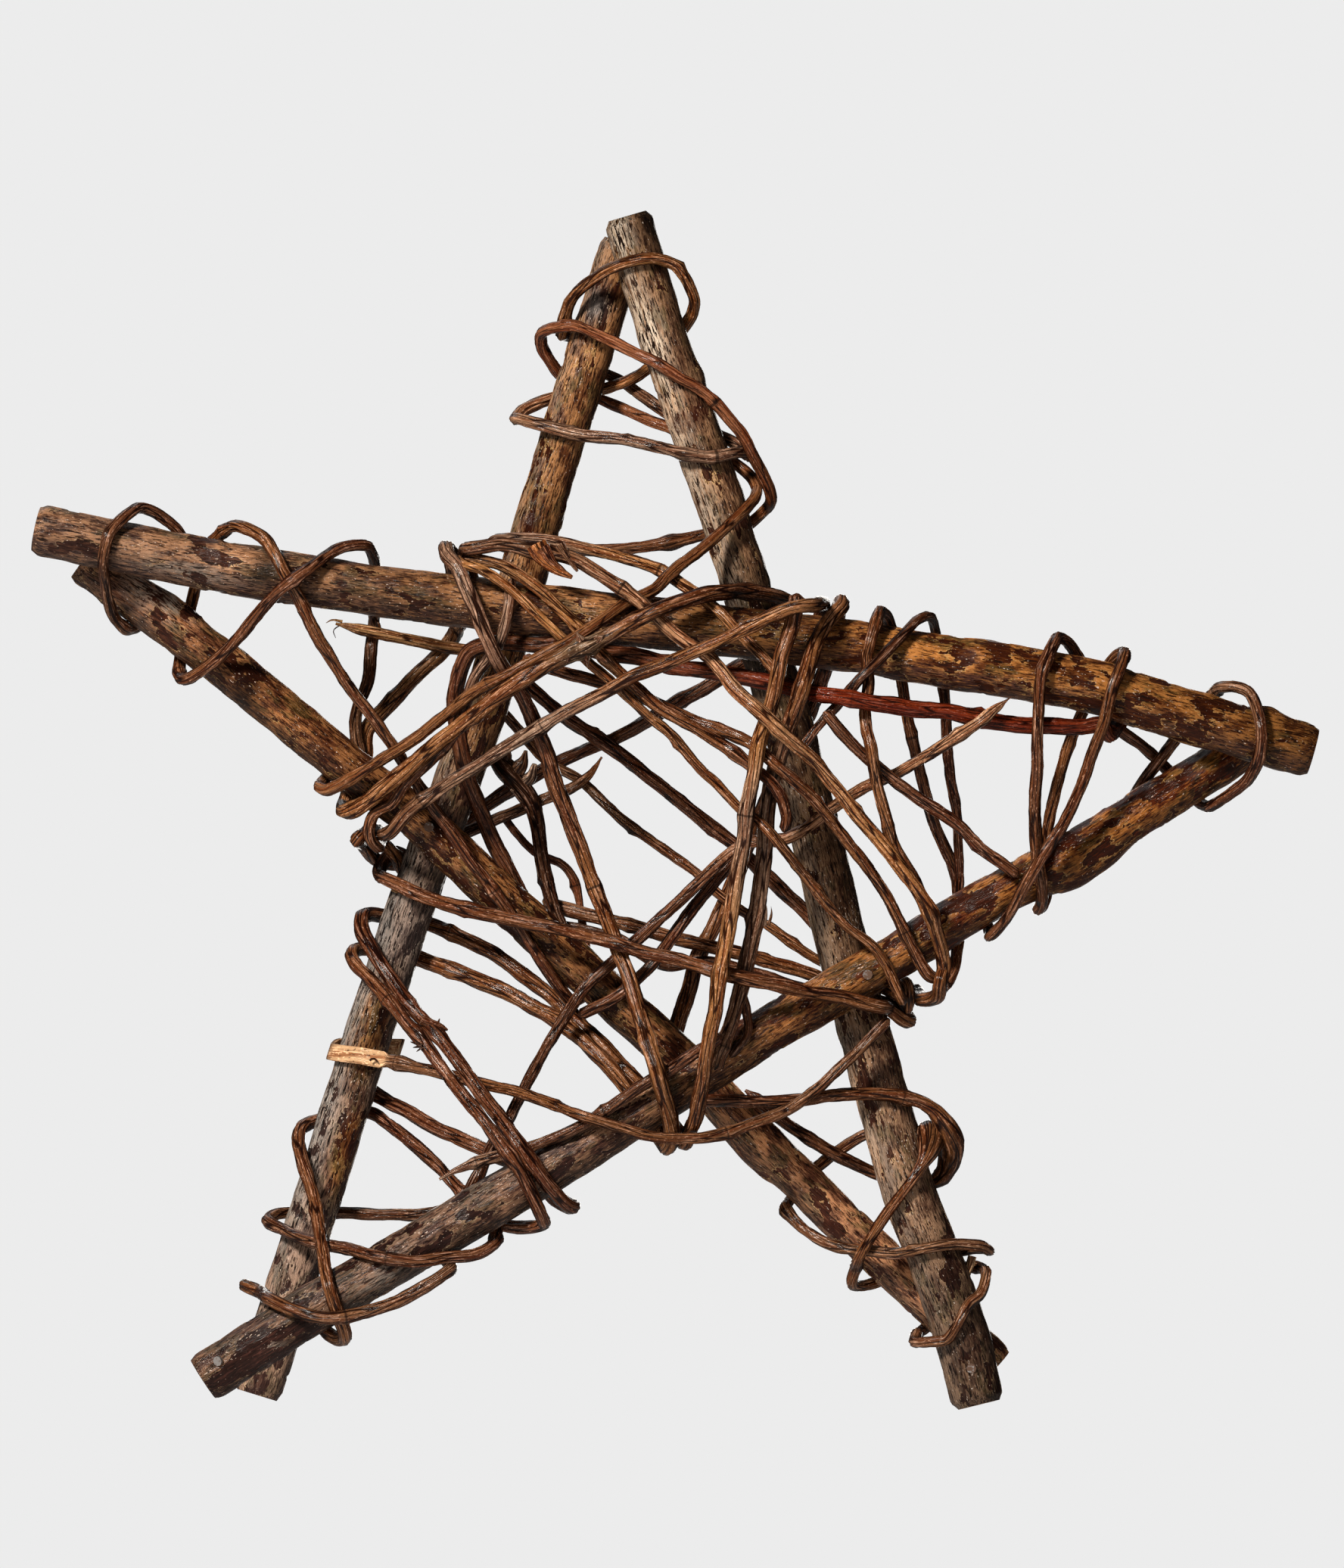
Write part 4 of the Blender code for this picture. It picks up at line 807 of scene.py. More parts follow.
# Marks: the value they add to, place on the drawing, half length and half width in millimetres, and amount
# Shade marks are partly dark stains and partly painted shadow; below zero they are partly painted light on a
# stretch that another piece shades
MARKS = {
    "level": [
        ("peel", 267, 733, 8.5, 3, 1.0), ("peel", 118, 726, 3, 4, 0.6), ("shade", 355, 752, 5, 8, 0.6),
        ("shade", 300, 742, 10, 8, -0.35), ("weather", 250, 755, 20, 4, 0.5),
    ],
    "right_leg": [
        ("shade", 858, 292, 6, 5, 0.9), ("weather", 820, 310, 9, 4, 0.9),
        ("weather", 862, 448, 14, 4.5, 0.9), ("shade", 895, 520, 12, 5, -0.3),
        ("shade", 925, 470, 20, 4, 0.9), ("peel", 1259, 1688, 6.5, 4, 1.0),
        ("shade", 1262, 1690, 10, 6, 0.3),
    ],
    "left_leg": [
        ("shade", 788, 402, 5, 4.5, 0.3), ("grey", 788, 402, 6, 5, 0.8), ("shade", 745, 500, 20, 8, -0.2),
        ("grey", 490, 1365, 20, 6, -0.9), ("shade", 505, 1350, 20, 4.5, 0.6),
        ("grey", 457, 1524, 16, 5, -0.9), ("peel", 462, 1530, 14, 3.5, 0.7),
        ("weather", 430, 1450, 30, 5, 0.4),
    ],
    "left_brace": [
        ("weather", 208, 780, 12, 8, 1.5), ("shade", 208, 780, 14, 8, -0.9),
        ("shade", 240, 822, 7, 5, -0.4), ("shade", 322, 915, 6, 6, 0.7), ("peel", 300, 868, 6, 5, 0.5),
        ("shade", 380, 950, 12, 5, -0.2),
    ],
    "right_brace": [
        ("peel", 345, 1767, 8.5, 3, 1.0), ("peel", 388, 1780, 6, 4, 0.9), ("peel", 312, 1812, 6, 4, 0.9),
        ("weather", 354, 1788, 7, 5, 0.9), ("shade", 354, 1788, 7, 5, -0.5),
        ("peel", 631, 1637, 12, 2.8, 1.0), ("shade", 672, 1598, 7, 3, -0.5),
        ("weather", 500, 1690, 18, 6, 0.6), ("peel", 500, 1690, 18, 6, -0.8),
        ("shade", 500, 1690, 18, 6, -0.2),
    ],
}
# Clusters of painted glints, pale specks for bright grains of lacquer: place on the drawing and radius in
# millimetres
PAINTED_GLINT_CLUSTERS = {
    "level": [(780, 817, 6), (610, 797, 5), (700, 806, 4), (1190, 875, 4)],
    "right_leg": [(900, 580, 6), (1130, 1210, 8), (1200, 1520, 8)],
    "left_leg": [(468, 1430, 6), (450, 1480, 6), (488, 1345, 6)],
    "left_brace": [(560, 1130, 5)],
    "right_brace": [(660, 1565, 7), (600, 1590, 5)],
}
# How far the rim of the sawn ends is rounded off, in millimetres
ROUNDED = {"level": 1.4, "right_leg": 2.2, "left_leg": 1.2, "left_brace": 1.2, "right_brace": 1.0}
# The side of each stick that is turned away from the key lamp and gets painted shade
SHADED_SIDES = {
    "level": (0.0, -0.35, -0.95), "right_leg": (0.95, -0.10, -0.30), "left_leg": (0.95, 0.20, -0.30),
    "left_brace": (-0.50, -0.10, -0.85), "right_brace": (0.45, -0.30, -0.85),
}
print("burls:", sum(map(len, BURLS.values())), "marks:", sum(map(len, MARKS.values())))

# %% [markdown]
# ## The five sticks
#
# Each stick swells and shrinks a little along its line. That and the worn rim of the ends go into the half
# thickness, and the bark's relief comes from the tree. Burls are raised afterwards on the finished skin: we
# find the place that shows at a point of the drawing, and push what is near it outwards. Weathering is a
# value on the surface: it is strongest where the bark faces the upper left, towards the key lamp, so it is
# partly painted light.

# %% Values along a line


def slow_noise(way, size, seed):
    """A smooth random value from -1 to 1 along a distance."""
    rng = np.random.default_rng(seed)
    marks = rng.uniform(-1, 1, int(way[-1] / size) + 3)
    low = (way / size).astype(int)
    part = way / size - low
    part = part * part * (3 - 2 * part)
    return marks[low] * (1 - part) + marks[low + 1] * part


def between_stops(stops, share):
    """The number or the colour at each share of a length, from a table of stops."""
    values = np.array(list(stops.values()), float)
    if values.ndim == 1:
        return np.interp(share, list(stops), values)
    return np.column_stack([np.interp(share, list(stops), part) for part in values.T])


# %% Find places on a piece
# How near the wanted place on the drawing, in metres, the points of a line are told apart by their depth
FRONT_REACH = 0.006


def nearest(line, x, y, front=0.0):
    """The point of a line that shows nearest to a place on the drawing.

    The higher front is, the more the points at the front of the line are preferred.
    """
    gaps = norm((line - np.array(on_star(x, y)))[:, [0, 2]], axis=1)
    return int(np.argmin(gaps + front * (line[:, 1] - line[:, 1].min()) * (gaps < FRONT_REACH)))


def near_side(line, half, index, x, y, reach=inf):
    """The place on the near side of a piece that shows at a place on the drawing."""
    side = (np.array(on_star(x, y)) - line[index]) * (1, 0, 1)
    side *= min(1, reach * half[index] / max(norm(side), 1e-6))
    front = np.sqrt(max(half[index] ** 2 - side @ side, 0))
    return line[index] + side - (0, front, 0)


# %% Read and raise a surface


def read(mesh, label):
    """The values of an attribute, as an array."""
    kept = mesh.attributes[label]
    wide = kept.data_type == "FLOAT_VECTOR"
    found = np.empty(len(kept.data) * (3 if wide else 1), np.float32)
    kept.data.foreach_get("vector" if wide else "value", found)
    return found.reshape(-1, 3) if wide else found


def outward_of(mesh):
    """The direction from the middle line to each point of a piece."""
    away = read(mesh, "position") - read(mesh, "middle")
    return away / np.maximum(norm(away, axis=1), 1e-9)[:, None]


def swell(piece, lumps):
    """Raises round lumps on a piece. Each lump is its centre, and its radius and height in millimetres."""
    mesh = piece.data
    places, outward = read(mesh, "position"), outward_of(mesh)
    knot = np.zeros(len(places))
    for centre, radius, height in lumps:
        raised = np.exp(-(norm(places - centre, axis=1) / (radius * MM)) ** 2)
        places = places + outward * (height * MM * raised)[:, None]
        knot = np.maximum(knot, raised)
    write(mesh, "position", places)
    add_values(mesh, "knot", knot)
    mesh.update()


# %% Values on a stick's surface
# The direction halfway between the key lamp and the camera, where painted glints gather
KEY_HIGHLIGHT_SIDE = np.array((-0.25, -0.93, 0.26))
# The side towards the key lamp, where the cream is partly painted light, and how narrow that cream side is
LIT_SIDE, LIT_SIDE_FOCUS = np.array((-0.80, -0.50, 0.33)), 3.2
# How strongly a stick gets painted glints where it faces halfway between the key lamp and the camera, how
# narrow that is, and how strongly in a cluster
PAINTED_GLINT_ALL_OVER, PAINTED_GLINT_FOCUS, PAINTED_GLINT_CLUSTER = 0.35, 6, 0.7


def facing(mesh, direction):
    """How much each point of a piece faces a direction, from 0 to 1."""
    return np.clip(outward_of(mesh) @ direction / norm(direction), 0, 1)


def on_stick(line, radii, x, y):
    """The place on a stick that shows at a place on the drawing."""
    return near_side(line, radii, nearest(line, x, y), x, y)


def direction_of(line):
    """The direction from the start of a line to its end."""
    return (line[-1] - line[0]) / norm(line[-1] - line[0])


def add_marks(mesh, line, radii, marks):
    """Adds the marks of a stick to the values on its surface."""
    axis = direction_of(line)
    for label, x, y, long, wide, amount in marks:
        away = read(mesh, "position") - on_stick(line, radii, x, y)
        lengthwise = away @ axis
        across = norm(away - np.outer(lengthwise, axis), axis=1)
        spread = np.exp(-(lengthwise / (long * MM)) ** 2 - (across / (wide * MM)) ** 2)
        write(mesh, label, read(mesh, label) + amount * spread)


def painted_glints_on(mesh, line, radii, clusters):
    """How strongly each point gets painted glints: a little where it faces the key lamp's highlight, most in
    the clusters.
    """
    near = PAINTED_GLINT_ALL_OVER * facing(mesh, KEY_HIGHLIGHT_SIDE) ** PAINTED_GLINT_FOCUS
    for x, y, size in clusters:
        gaps = norm(read(mesh, "position") - on_stick(line, radii, x, y), axis=1)
        near = np.maximum(near, PAINTED_GLINT_CLUSTER * np.exp(-(gaps / (size * MM)) ** 2))
    return near


# %% Grow the sticks
# How far apart the rings of a stick are, and how far along it the worn rim of an end reaches
STICK_STEP, RIM = 0.0013, 0.0018
SWELLING, SWELLING_LENGTH = 0.025, 0.045
STICK_SEED_STEP = 11
STICK_SETTINGS = {
    "Sides": 54, "Strips": 2.2, "Strip Length": 0.022, "Strip Depth": 0.012, "Twist": 1.5,
    "Flake Size": FLAKE_SIZE * MM, "Flake Stretch": FLAKE_STRETCH, "Flake Depth": 0.00045,
    "Lump Size": 0.013, "Lump Depth": 0.0004,
}


def grow_stick(index, name):
    """One finished stick."""
    stick = name.removesuffix("_stick")
    points, radii = stick_lines[name]
    line, way = smooth_line(points, STICK_STEP)
    radii = np.interp(way / way[-1], np.linspace(0, 1, len(radii)), radii)
    near_end = np.minimum(way, way[-1] - way)
    half = radii * (1 + SWELLING * slow_noise(way, SWELLING_LENGTH, index))
    half -= ROUNDED[stick] * MM * np.exp(-(near_end / RIM) ** 2)
    on_line = {label: between_stops(table[stick], way / way[-1]) for label, table in ALONG_STICKS.items()}
    settings = dict(STICK_SETTINGS, Seed=float(STICK_SEED_STEP * index))
    piece = grow(name + "_bark", [line], {"half": half, **on_line}, BARKS[stick], SAWN, settings)
    swell(piece, [(on_stick(line, radii, x, y), *size) for x, y, *size in BURLS[stick]])
    mesh = piece.data
    # Cream of weathering, partly painted light on the side towards the key lamp
    add_values(mesh, "weather", read(mesh, "worn") * facing(mesh, LIT_SIDE) ** LIT_SIDE_FOCUS)
    # Painted shade on the side away from the key lamp
    add_values(mesh, "under", facing(mesh, np.array(SHADED_SIDES[stick])))
    # Painted glints
    add_values(mesh, "glint", painted_glints_on(mesh, line, radii, PAINTED_GLINT_CLUSTERS[stick]))
    add_marks(mesh, line, radii, MARKS[stick])
    return piece


pieces = {name: grow_stick(index, name) for index, name in enumerate(stick_names)}
print("faces of the sticks:", {name: len(piece.data.polygons) for name, piece in pieces.items()})

# %% [markdown]
# ## Bark of the vines
#
# Grapevine bark is stringy: pale along the tops of its strips, partly as painted highlight, and nearly black
# in the grooves, partly as painted shade. It runs from grey-brown to gold and red, sometimes along one vine,
# so each vine keeps its own colour on its surface, which may change on the way. The strips are the same as
# in the shape. Finer strings are noise that is stretched far along the vine. The flanks of a vine, which
# face neither the room nor the wall, get painted shade, and the lacquer draws bright streaks on the strips.
# Pale specks on the strips are painted glints.

# %% The vine materials
VINE_STRIPS, VINE_STRIP_LENGTH = 1.5, 0.030
GROOVE_SLOPE, STRING_SHIFT = 0.06, 0.14
WORN_SHADE = (0.62, 0.52, 0.46)


def vine_bark(name, coat, groove, contrast):
    """Stringy bark in the colour that the vine keeps on its surface."""
    bark = Finish(name)
    # The vine's own colour, with a dark, a brown and a pale side of it; the pale one is partly painted
    # highlight and the dark one partly painted shade
    tint = bark.kept("tint", "Vector")
    dark = bark.mix(1.0, tint, (0.07, 0.035, 0.025), "MULTIPLY")
    brown = bark.mix(1.0, tint, (0.60, 0.42, 0.34), "MULTIPLY")
    pale = bark.mix(1.0, bark.scaled(tint, (1.6, 1.6, 1.6)), (0.17, 0.124, 0.100), "ADD")
    # Strips of bark, with grooves between them
    string = bark.grain(0.45, 11, 3.0, 0.65)
    speck_and_glint = bark.grain(0.55, 1.8, 2.0)
    around = bark.scaled(bark.kept("around", "Vector"), (VINE_STRIPS, VINE_STRIPS, 1 / VINE_STRIP_LENGTH))
    crest = bark.maths("MULTIPLY_ADD", string, STRING_SHIFT, bark.strips(around))
    crest = bark.maths("MAXIMUM", bark.between(crest, groove, groove + GROOVE_SLOPE), bark.kept("flat"))
    # Strings and specks on the strips: the pale strings are partly painted highlight, the pale specks
    # painted glints
    stringy = bark.between(bark.kept("flat"), 0.0, 1.0, 0.75, 0.25)
    bark.colour = bark.mix(bark.between(bark.grain(1.3, 30, 2.0, 0.5), 0.42, 0.62), tint, brown)
    bark.lay(bark.times(bark.between(string, 0.55, 0.68), stringy), dark)
    bark.lay(bark.between(string, 0.44, 0.35, 0.0, contrast), pale)
    bark.lay(bark.between(speck_and_glint, 0.60, 0.68, 0.0, contrast), pale)
    bark.lay(bark.between(speck_and_glint, 0.38, 0.32, 0.0, 0.8), dark)
    # The grooves get the dark colour: dark inner bark, and also painted shade in the grooves
    bark.colour = bark.mix(crest, dark, bark.colour)
    # Duller stretches, painted shade on the flanks, dark rings at the joints and knots
    bark.lay(bark.between(bark.kept("tone"), -1.0, 1.0, 0.0, 0.6), WORN_SHADE, "MULTIPLY")
    # Painted shade on the flanks, which face neither front nor back
    bark.lay(bark.between(bark.kept("side"), 0.40, 1.0, 0.0, 0.9), dark)
    bark.lay(bark.between(bark.kept("ring"), 0.55, 0.8, 0.0, 0.8), DARK_FLECK)
    knot = bark.between(bark.kept("knot"), 0.35, 0.7, 0.0, 0.7)
    bark.lay(bark.times(knot, bark.between(string, 0.4, 0.6)), DARK_FLECK)
    roughness = bark.between(bark.grain(1.0, 5), 0.35, 0.65, 0.60, 0.85)
    height = bark.maths("MULTIPLY_ADD", crest, 0.8, bark.maths("MULTIPLY_ADD", speck_and_glint, 0.6, string))
    return bark.done(roughness, height, 1.0, 0.9, coat)


# Each bark's name, lacquer, width of the grooves and contrast of its strings
VINE_LOOKS = {
    "brown_vine_bark": ("brown_vine", 0.17, 0.09, 0.85),
    "red_vine_bark": ("red_vine_skin", 0.15, 0.07, 0.4),
    "grey_vine_bark": ("grey_vine_skin", 0.15, 0.09, 0.9),
    "peeled_vine_wood": ("peeled_vine_skin", 0.10, 0.08, 0.9),
}
SKINS = {slot: vine_bark(*look) for slot, look in VINE_LOOKS.items()}
slots = {entry["node"]: entry["material_slot"] for entry in frame["record"]["subparts"]}
print("slots:", sorted(set(slots.values())))

# %% [markdown]
# ## Colours of the vines
#
# Each vine has its own colours, as stops again. We could let a random number choose them, but on this star
# the gold, red, grey and dark vines have their places, and they help the eye to follow one vine through the
# tangle.

# %% Name the colours and give them out
BROWN, GOLD, GREY = (0.170, 0.067, 0.023), (0.275, 0.120, 0.040), (0.245, 0.155, 0.105)
DULL, UMBER, DARK = (0.142, 0.067, 0.033), (0.116, 0.041, 0.017), (0.055, 0.021, 0.009)
RED, DEEP_RED, ORANGE = (0.20, 0.072, 0.030), (0.16, 0.022, 0.005), (0.31, 0.110, 0.030)
TAN, PALE_WOOD, ROSE = (0.36, 0.20, 0.085), (0.49, 0.31, 0.17), (0.31, 0.155, 0.078)
BURR = (0.11, 0.066, 0.036)
# DARK on the vines at the back is their darker bark and also painted shade
TINTS = {
    "top_coil": {0: DULL, 0.35: GREY, 0.6: GOLD, 1: BROWN},
    "top_loop": {0: DULL, 0.15: BROWN, 0.22: RED, 0.45: RED, 0.6: BROWN, 1: BROWN},
    "left_point": {0: DULL, 0.3: UMBER, 0.5: BROWN, 1: UMBER},
    "left_tip": {0: DULL, 1: UMBER},
    "long_hook": {
        0: BROWN, 0.3: BROWN, 0.40: UMBER, 0.46: GREY, 0.50: DULL, 0.66: GOLD, 0.82: BROWN, 0.837: BURR,
        0.850: BURR, 0.862: BROWN, 1: UMBER,
    },
    "centre": {
        0: UMBER, 0.04: BROWN, 0.09: GOLD, 0.13: GREY, 0.2: GOLD, 0.28: BROWN, 0.5: BROWN, 0.62: UMBER,
        1: UMBER,
    },
    "left_leg": {0: BROWN, 0.1: UMBER, 0.4: UMBER, 0.7: BROWN, 1: DULL},
    "left_foot": {0: DULL, 1: UMBER},
    "peeled": {0: PALE_WOOD, 0.222: PALE_WOOD, 0.226: DULL, 0.4: BROWN, 1: DULL},
    "right_foot": {0: DULL, 0.5: BROWN, 1: DULL},
    "right_foot_hoop": {0: UMBER, 0.5: BROWN, 1: UMBER},
    "right_point": {0: UMBER, 0.09: DULL, 0.12: DULL, 0.2: UMBER, 0.4: UMBER, 0.7: BROWN, 1: UMBER},
    "right_fan": {0: UMBER, 0.5: DARK, 1: UMBER},
    "right_pair": {0: UMBER, 0.3: BROWN, 0.5: UMBER, 1: BROWN},
    "long_cross": {0: DULL, 0.12: DULL, 0.2: ROSE, 0.42: GOLD, 0.55: BROWN, 0.7: UMBER, 1: UMBER},
    "cross": {0: DULL, 0.3: BROWN, 0.8: BROWN, 0.9: GOLD, 1: GOLD},
    "knotted": {0: DULL, 0.3: GOLD, 0.5: BROWN, 1: UMBER},
    "upper_cross": {0: DULL, 0.3: GREY, 0.5: GOLD, 1: BROWN},
    "ridge": {0: UMBER, 0.08: DULL, 0.16: GOLD, 0.27: BROWN, 0.36: GREY, 0.45: DULL, 0.6: BROWN, 1: UMBER},
    "short_loop": {0: DULL, 0.1: GREY, 0.4: UMBER, 1: BROWN},
    "red": {0: UMBER, 0.15: DEEP_RED, 0.4: DEEP_RED, 0.6: UMBER, 1: UMBER},
    "tan": {0: TAN, 1: BROWN},
    "dark_back": {0: DARK, 1: DARK},
    "broken_back": {0: DARK, 0.8: DULL, 1: ORANGE},
    "thin_back": {0: UMBER, 1: RED},
    "grey": {0: BROWN, 0.4: UMBER, 0.55: BROWN, 0.64: BROWN, 0.74: GREY, 1: DULL},
    "pointed": {0: ROSE, 0.25: ROSE, 0.5: UMBER, 1: DARK},
    "companion": {0: UMBER, 1: UMBER},
    "slanting": {0: UMBER, 1: UMBER},
    "cracked": {0: DULL, 0.2: BROWN, 1: UMBER},
    "lower_back": {0: DARK, 1: UMBER},
    "split": {0: GREY, 0.2: DULL, 1: UMBER},
    "small": {0: UMBER, 1: DARK},
}
print("vines without a colour:", sorted({name.removesuffix("_vine") for name in vine_names} - set(TINTS)))

# %% [markdown]
# ## Ends, knots and side shoots
#
# Some vines begin under others. Their plain solids stop short there, so we lead those lines on until they
# are hidden. Grapevine also has knots where it branched, thorns, torn flaps of bark and cut stubs. Each has
# its place on the drawing: a knot is a few raised lumps, and a side shoot is a short line with its own
# thickness and colour that grows from the vine.

# %% Name the ends and the knots
# Led-on ends: how many rings of the plain solid go, and the new places with their depth in millimetres
NEW_STARTS = {
    "knotted": (1, [(606, 737, -20), (620, 739, -30), (636, 742, -35)]),
    "short_loop": (2, [(677, 766, -32.5), (675, 783, -33.5), (674, 800, -36.5)]),
}
NEW_ENDS = {"cross": (1, [(628, 751, -38), (616, 746, -33), (605, 741, -24)])}
# Lengths over which an end runs out to a point, at the start and at the end, in millimetres
TAPERS = {
    "split": (16, 0), "tan": (10, 0), "broken_back": (4, 14), "pointed": (6, 0), "left_point": (0, 8),
    "right_foot_hoop": (0, 6), "top_coil": (0, 5),
}
# Knots: place on the drawing, radius and height in millimetres
KNOTS = {
    "long_hook": [
        (756, 862, 2.4, 1.8), (766, 850, 2.2, 2.0), (778, 858, 2.6, 2.4), (770, 869, 2.2, 1.8),
        (788, 849, 2.2, 1.8), (790, 866, 2.0, 1.6), (640, 890, 3.0, 0.5),
    ],
    "top_coil": [(902, 602, 4.0, 1.3), (830, 575, 2.2, 0.6)],
    "top_loop": [(900, 712, 4.0, 1.4)],
    "knotted": [(970, 995, 3.4, 1.3), (800, 872, 3.0, 1.6)],
    "long_cross": [(1230, 1210, 3.4, 1.4), (700, 716, 6.0, 1.4)],
    "peeled": [(543, 1411, 3.6, 1.3)],
    "right_foot": [(1246, 1480, 9.0, 2.6), (1252, 1515, 8.0, 2.4)],
    "right_foot_hoop": [(1236, 1495, 9.0, 2.4), (1234, 1525, 9.0, 2.4)],
    "red": [(1290, 930, 5.0, 1.0), (1180, 915, 4.0, 0.6)],
    "left_leg": [(600, 1330, 4.0, 0.9)],
    "dark_back": [(692, 1035, 11.0, 1.6), (672, 1012, 6.0, 1.8)],
    "centre": [(590, 1370, 4.0, 0.9)],
}
print("knots:", sum(map(len, KNOTS.values())))

# %% Name the side shoots
# Places on the drawing, how far the root and the tip stand in front of the vine's middle line and how thick
# they are from the middle, in millimetres, and the colour
SHOOTS = {
    "long_cross": [
        ([(710, 722), (720, 740), (736, 754), (757, 765)], 1.0, 3.0, 3.4, 0.8, ORANGE),
        ([(716, 728), (730, 746), (748, 759)], 2.0, 3.0, 3.0, 0.8, RED),
        ([(740, 722), (752, 740), (764, 757)], 1.5, 2.0, 2.0, 0.4, DULL),
    ],
    "long_hook": [
        ([(756, 866), (750, 878)], 1.5, 3.0, 0.7, 0.2, DARK),
        ([(776, 868), (778, 882)], 1.5, 3.5, 0.8, 0.2, DARK),
        ([(788, 850), (797, 842)], 2.0, 4.0, 0.8, 0.2, GREY),
        ([(768, 846), (764, 838)], 2.0, 3.5, 0.8, 0.2, GREY),
        ([(790, 868), (803, 876)], 2.0, 3.0, 0.9, 0.2, DULL),
    ],
    "centre": [
        ([(557, 1347), (570, 1352), (582, 1356), (592, 1361)], 0.5, 0.0, 1.9, 0.2, UMBER),
        ([(578, 1354), (581, 1346)], 0.5, 0.0, 0.4, 0.1, DARK),
    ],
    "left_leg": [
        ([(558, 1381), (543, 1376)], 0.0, 0.0, 0.6, 0.1, DARK),
        ([(558, 1382), (546, 1384)], 0.0, 0.5, 0.6, 0.1, DARK),
        ([(559, 1383), (551, 1389)], 0.0, 0.0, 0.5, 0.1, DARK),
    ],
    "right_foot": [([(1285, 1660), (1281, 1675), (1276, 1689)], 5.0, 6.0, 1.7, 1.4, PALE_WOOD)],
    "peeled": [
        ([(506, 1398), (514, 1399), (520, 1400)], 1.4, 1.6, 1.5, 0.4, PALE_WOOD),
        ([(465, 1402), (464, 1398), (470, 1396), (476, 1399), (475, 1402)], 0.9, 0.9, 0.4, 0.3, DARK),
        ([(488, 1402), (492, 1399), (497, 1401), (499, 1404)], 0.9, 0.9, 0.4, 0.3, DARK),
    ],
    "dark_back": [
        ([(660, 1010), (668, 995), (664, 982)], 0.0, 4, 1.4, 0.2, DULL),
        ([(672, 1030), (690, 1008), (694, 992)], 0.0, 4, 1.6, 0.2, DULL),
        ([(664, 1018), (648, 1008), (638, 1012)], 0.0, 2, 1.0, 0.1, DARK),
        ([(676, 1045), (700, 1028), (706, 1010)], 0.0, 4, 1.3, 0.2, GREY),
    ],
    "grey": [
        ([(1010, 1222), (1012, 1200), (1009, 1186)], 0.0, 1, 0.8, 0.1, GREY),
        ([(1015, 1222), (1019, 1206), (1018, 1196)], 0.0, 1, 0.7, 0.1, DULL),
    ],
    "tan": [
        ([(448, 824), (438, 832), (441, 842)], 0.0, 0.0, 0.3, 0.1, DARK),
        ([(450, 820), (436, 818), (428, 822)], 0.0, 0.0, 0.6, 0.1, TAN),
        ([(500, 832), (498, 822), (492, 815)], 0.0, 0.0, 0.7, 0.2, DARK),
    ],
    "cracked": [
        ([(522, 1170), (545, 1177), (566, 1188), (582, 1196)], 2.0, 3.0, 0.8, 0.2, PALE_WOOD),
        ([(516, 1176), (538, 1186), (560, 1199)], 2.0, 3.5, 0.6, 0.1, TAN),
    ],
}
print("side shoots:", sum(map(len, SHOOTS.values())))

# %% [markdown]
# ## The vines
#
# A vine isn't an even tube. Every hand's breadth it has a joint, where a leaf grew: a swelling with a dark
# ring and a small bud scar on one side, and the next one on the other side. Between the joints it swells and
# shrinks slowly and wanders a little. The joints go into the half thickness, and the scars and the knots are
# raised on the finished skin.

# %% Joints of a vine
# Two numbers are the least and the most. Lengths are in metres, but a scar's radius and height are in
# millimetres. The rise and the darkness are shares, and the tilt is an angle.
JOINT_GAPS = (0.045, 0.095)
JOINT_MARGIN = 0.01
JOINT_RISE, JOINT_LENGTH = (0.06, 0.18), (0.002, 0.004)
RING_LENGTH, RING_DARKNESS = 0.0013, (0.5, 1.0)
SCAR_TILT, SCAR_RADIUS, SCAR_HEIGHT = (-0.6, 0.9), 1.7, (0.4, 1.0)


def joints_along(way, rng):
    """The distances along a vine where it has its joints."""
    found, joint = [], rng.uniform(JOINT_MARGIN, JOINT_GAPS[1])
    while joint < way[-1] - JOINT_MARGIN:
        found.append(joint)
        joint += rng.uniform(*JOINT_GAPS)
    return found


def joint_values(line, way, half, rng):
    """The swelling at the joints, the dark rings round them, and the bud scars as lumps."""
    swelling, ring, lumps = np.zeros(len(way)), np.zeros(len(way)), []
    for turn, joint in enumerate(joints_along(way, rng)):
        swelling += rng.uniform(*JOINT_RISE) * np.exp(-((way - joint) / rng.uniform(*JOINT_LENGTH)) ** 2)
        ring = np.maximum(ring, np.exp(-((way - joint) / RING_LENGTH) ** 2) * rng.uniform(*RING_DARKNESS))
        here = int(np.searchsorted(way, joint))
        across = np.cross(line[min(here + 1, len(line) - 1)] - line[here - 1], (0, 1, 0.2))
        across /= max(norm(across), 1e-9)
        tilt = rng.uniform(*SCAR_TILT)
        side = (1 if turn % 2 else -1) * across * cos(tilt) - np.array((0, 1, 0)) * sin(tilt)
        lumps.append((line[here] + side * half[here], SCAR_RADIUS, rng.uniform(*SCAR_HEIGHT)))
    return swelling, ring, lumps


# %% Ends, knots and shoots of a vine
SHOOT_STEP, SHOOT_TAPER = 0.0008, 1.3
# How much the front of a vine is preferred, and how far from its middle line a knot may stand
TO_FRONT, KNOT_REACH = 0.2, 0.9


def led_on(vine, centres, halves):
    """The middle line and the half thickness of a vine, with its ends led on where they hide."""
    for table, turned in ((NEW_STARTS, 1), (NEW_ENDS, -1)):
        dropped, places = table.get(vine, (0, []))
        if places:
            centres, halves = centres[::turned], halves[::turned]
            new = [on_star(x, y, depth * MM) for x, y, depth in places[::turned]]
            centres = np.vstack([new, centres[dropped:]])[::turned]
            halves = np.concatenate([np.full(len(new), halves[0]), halves[dropped:]])[::turned]
    return centres, halves


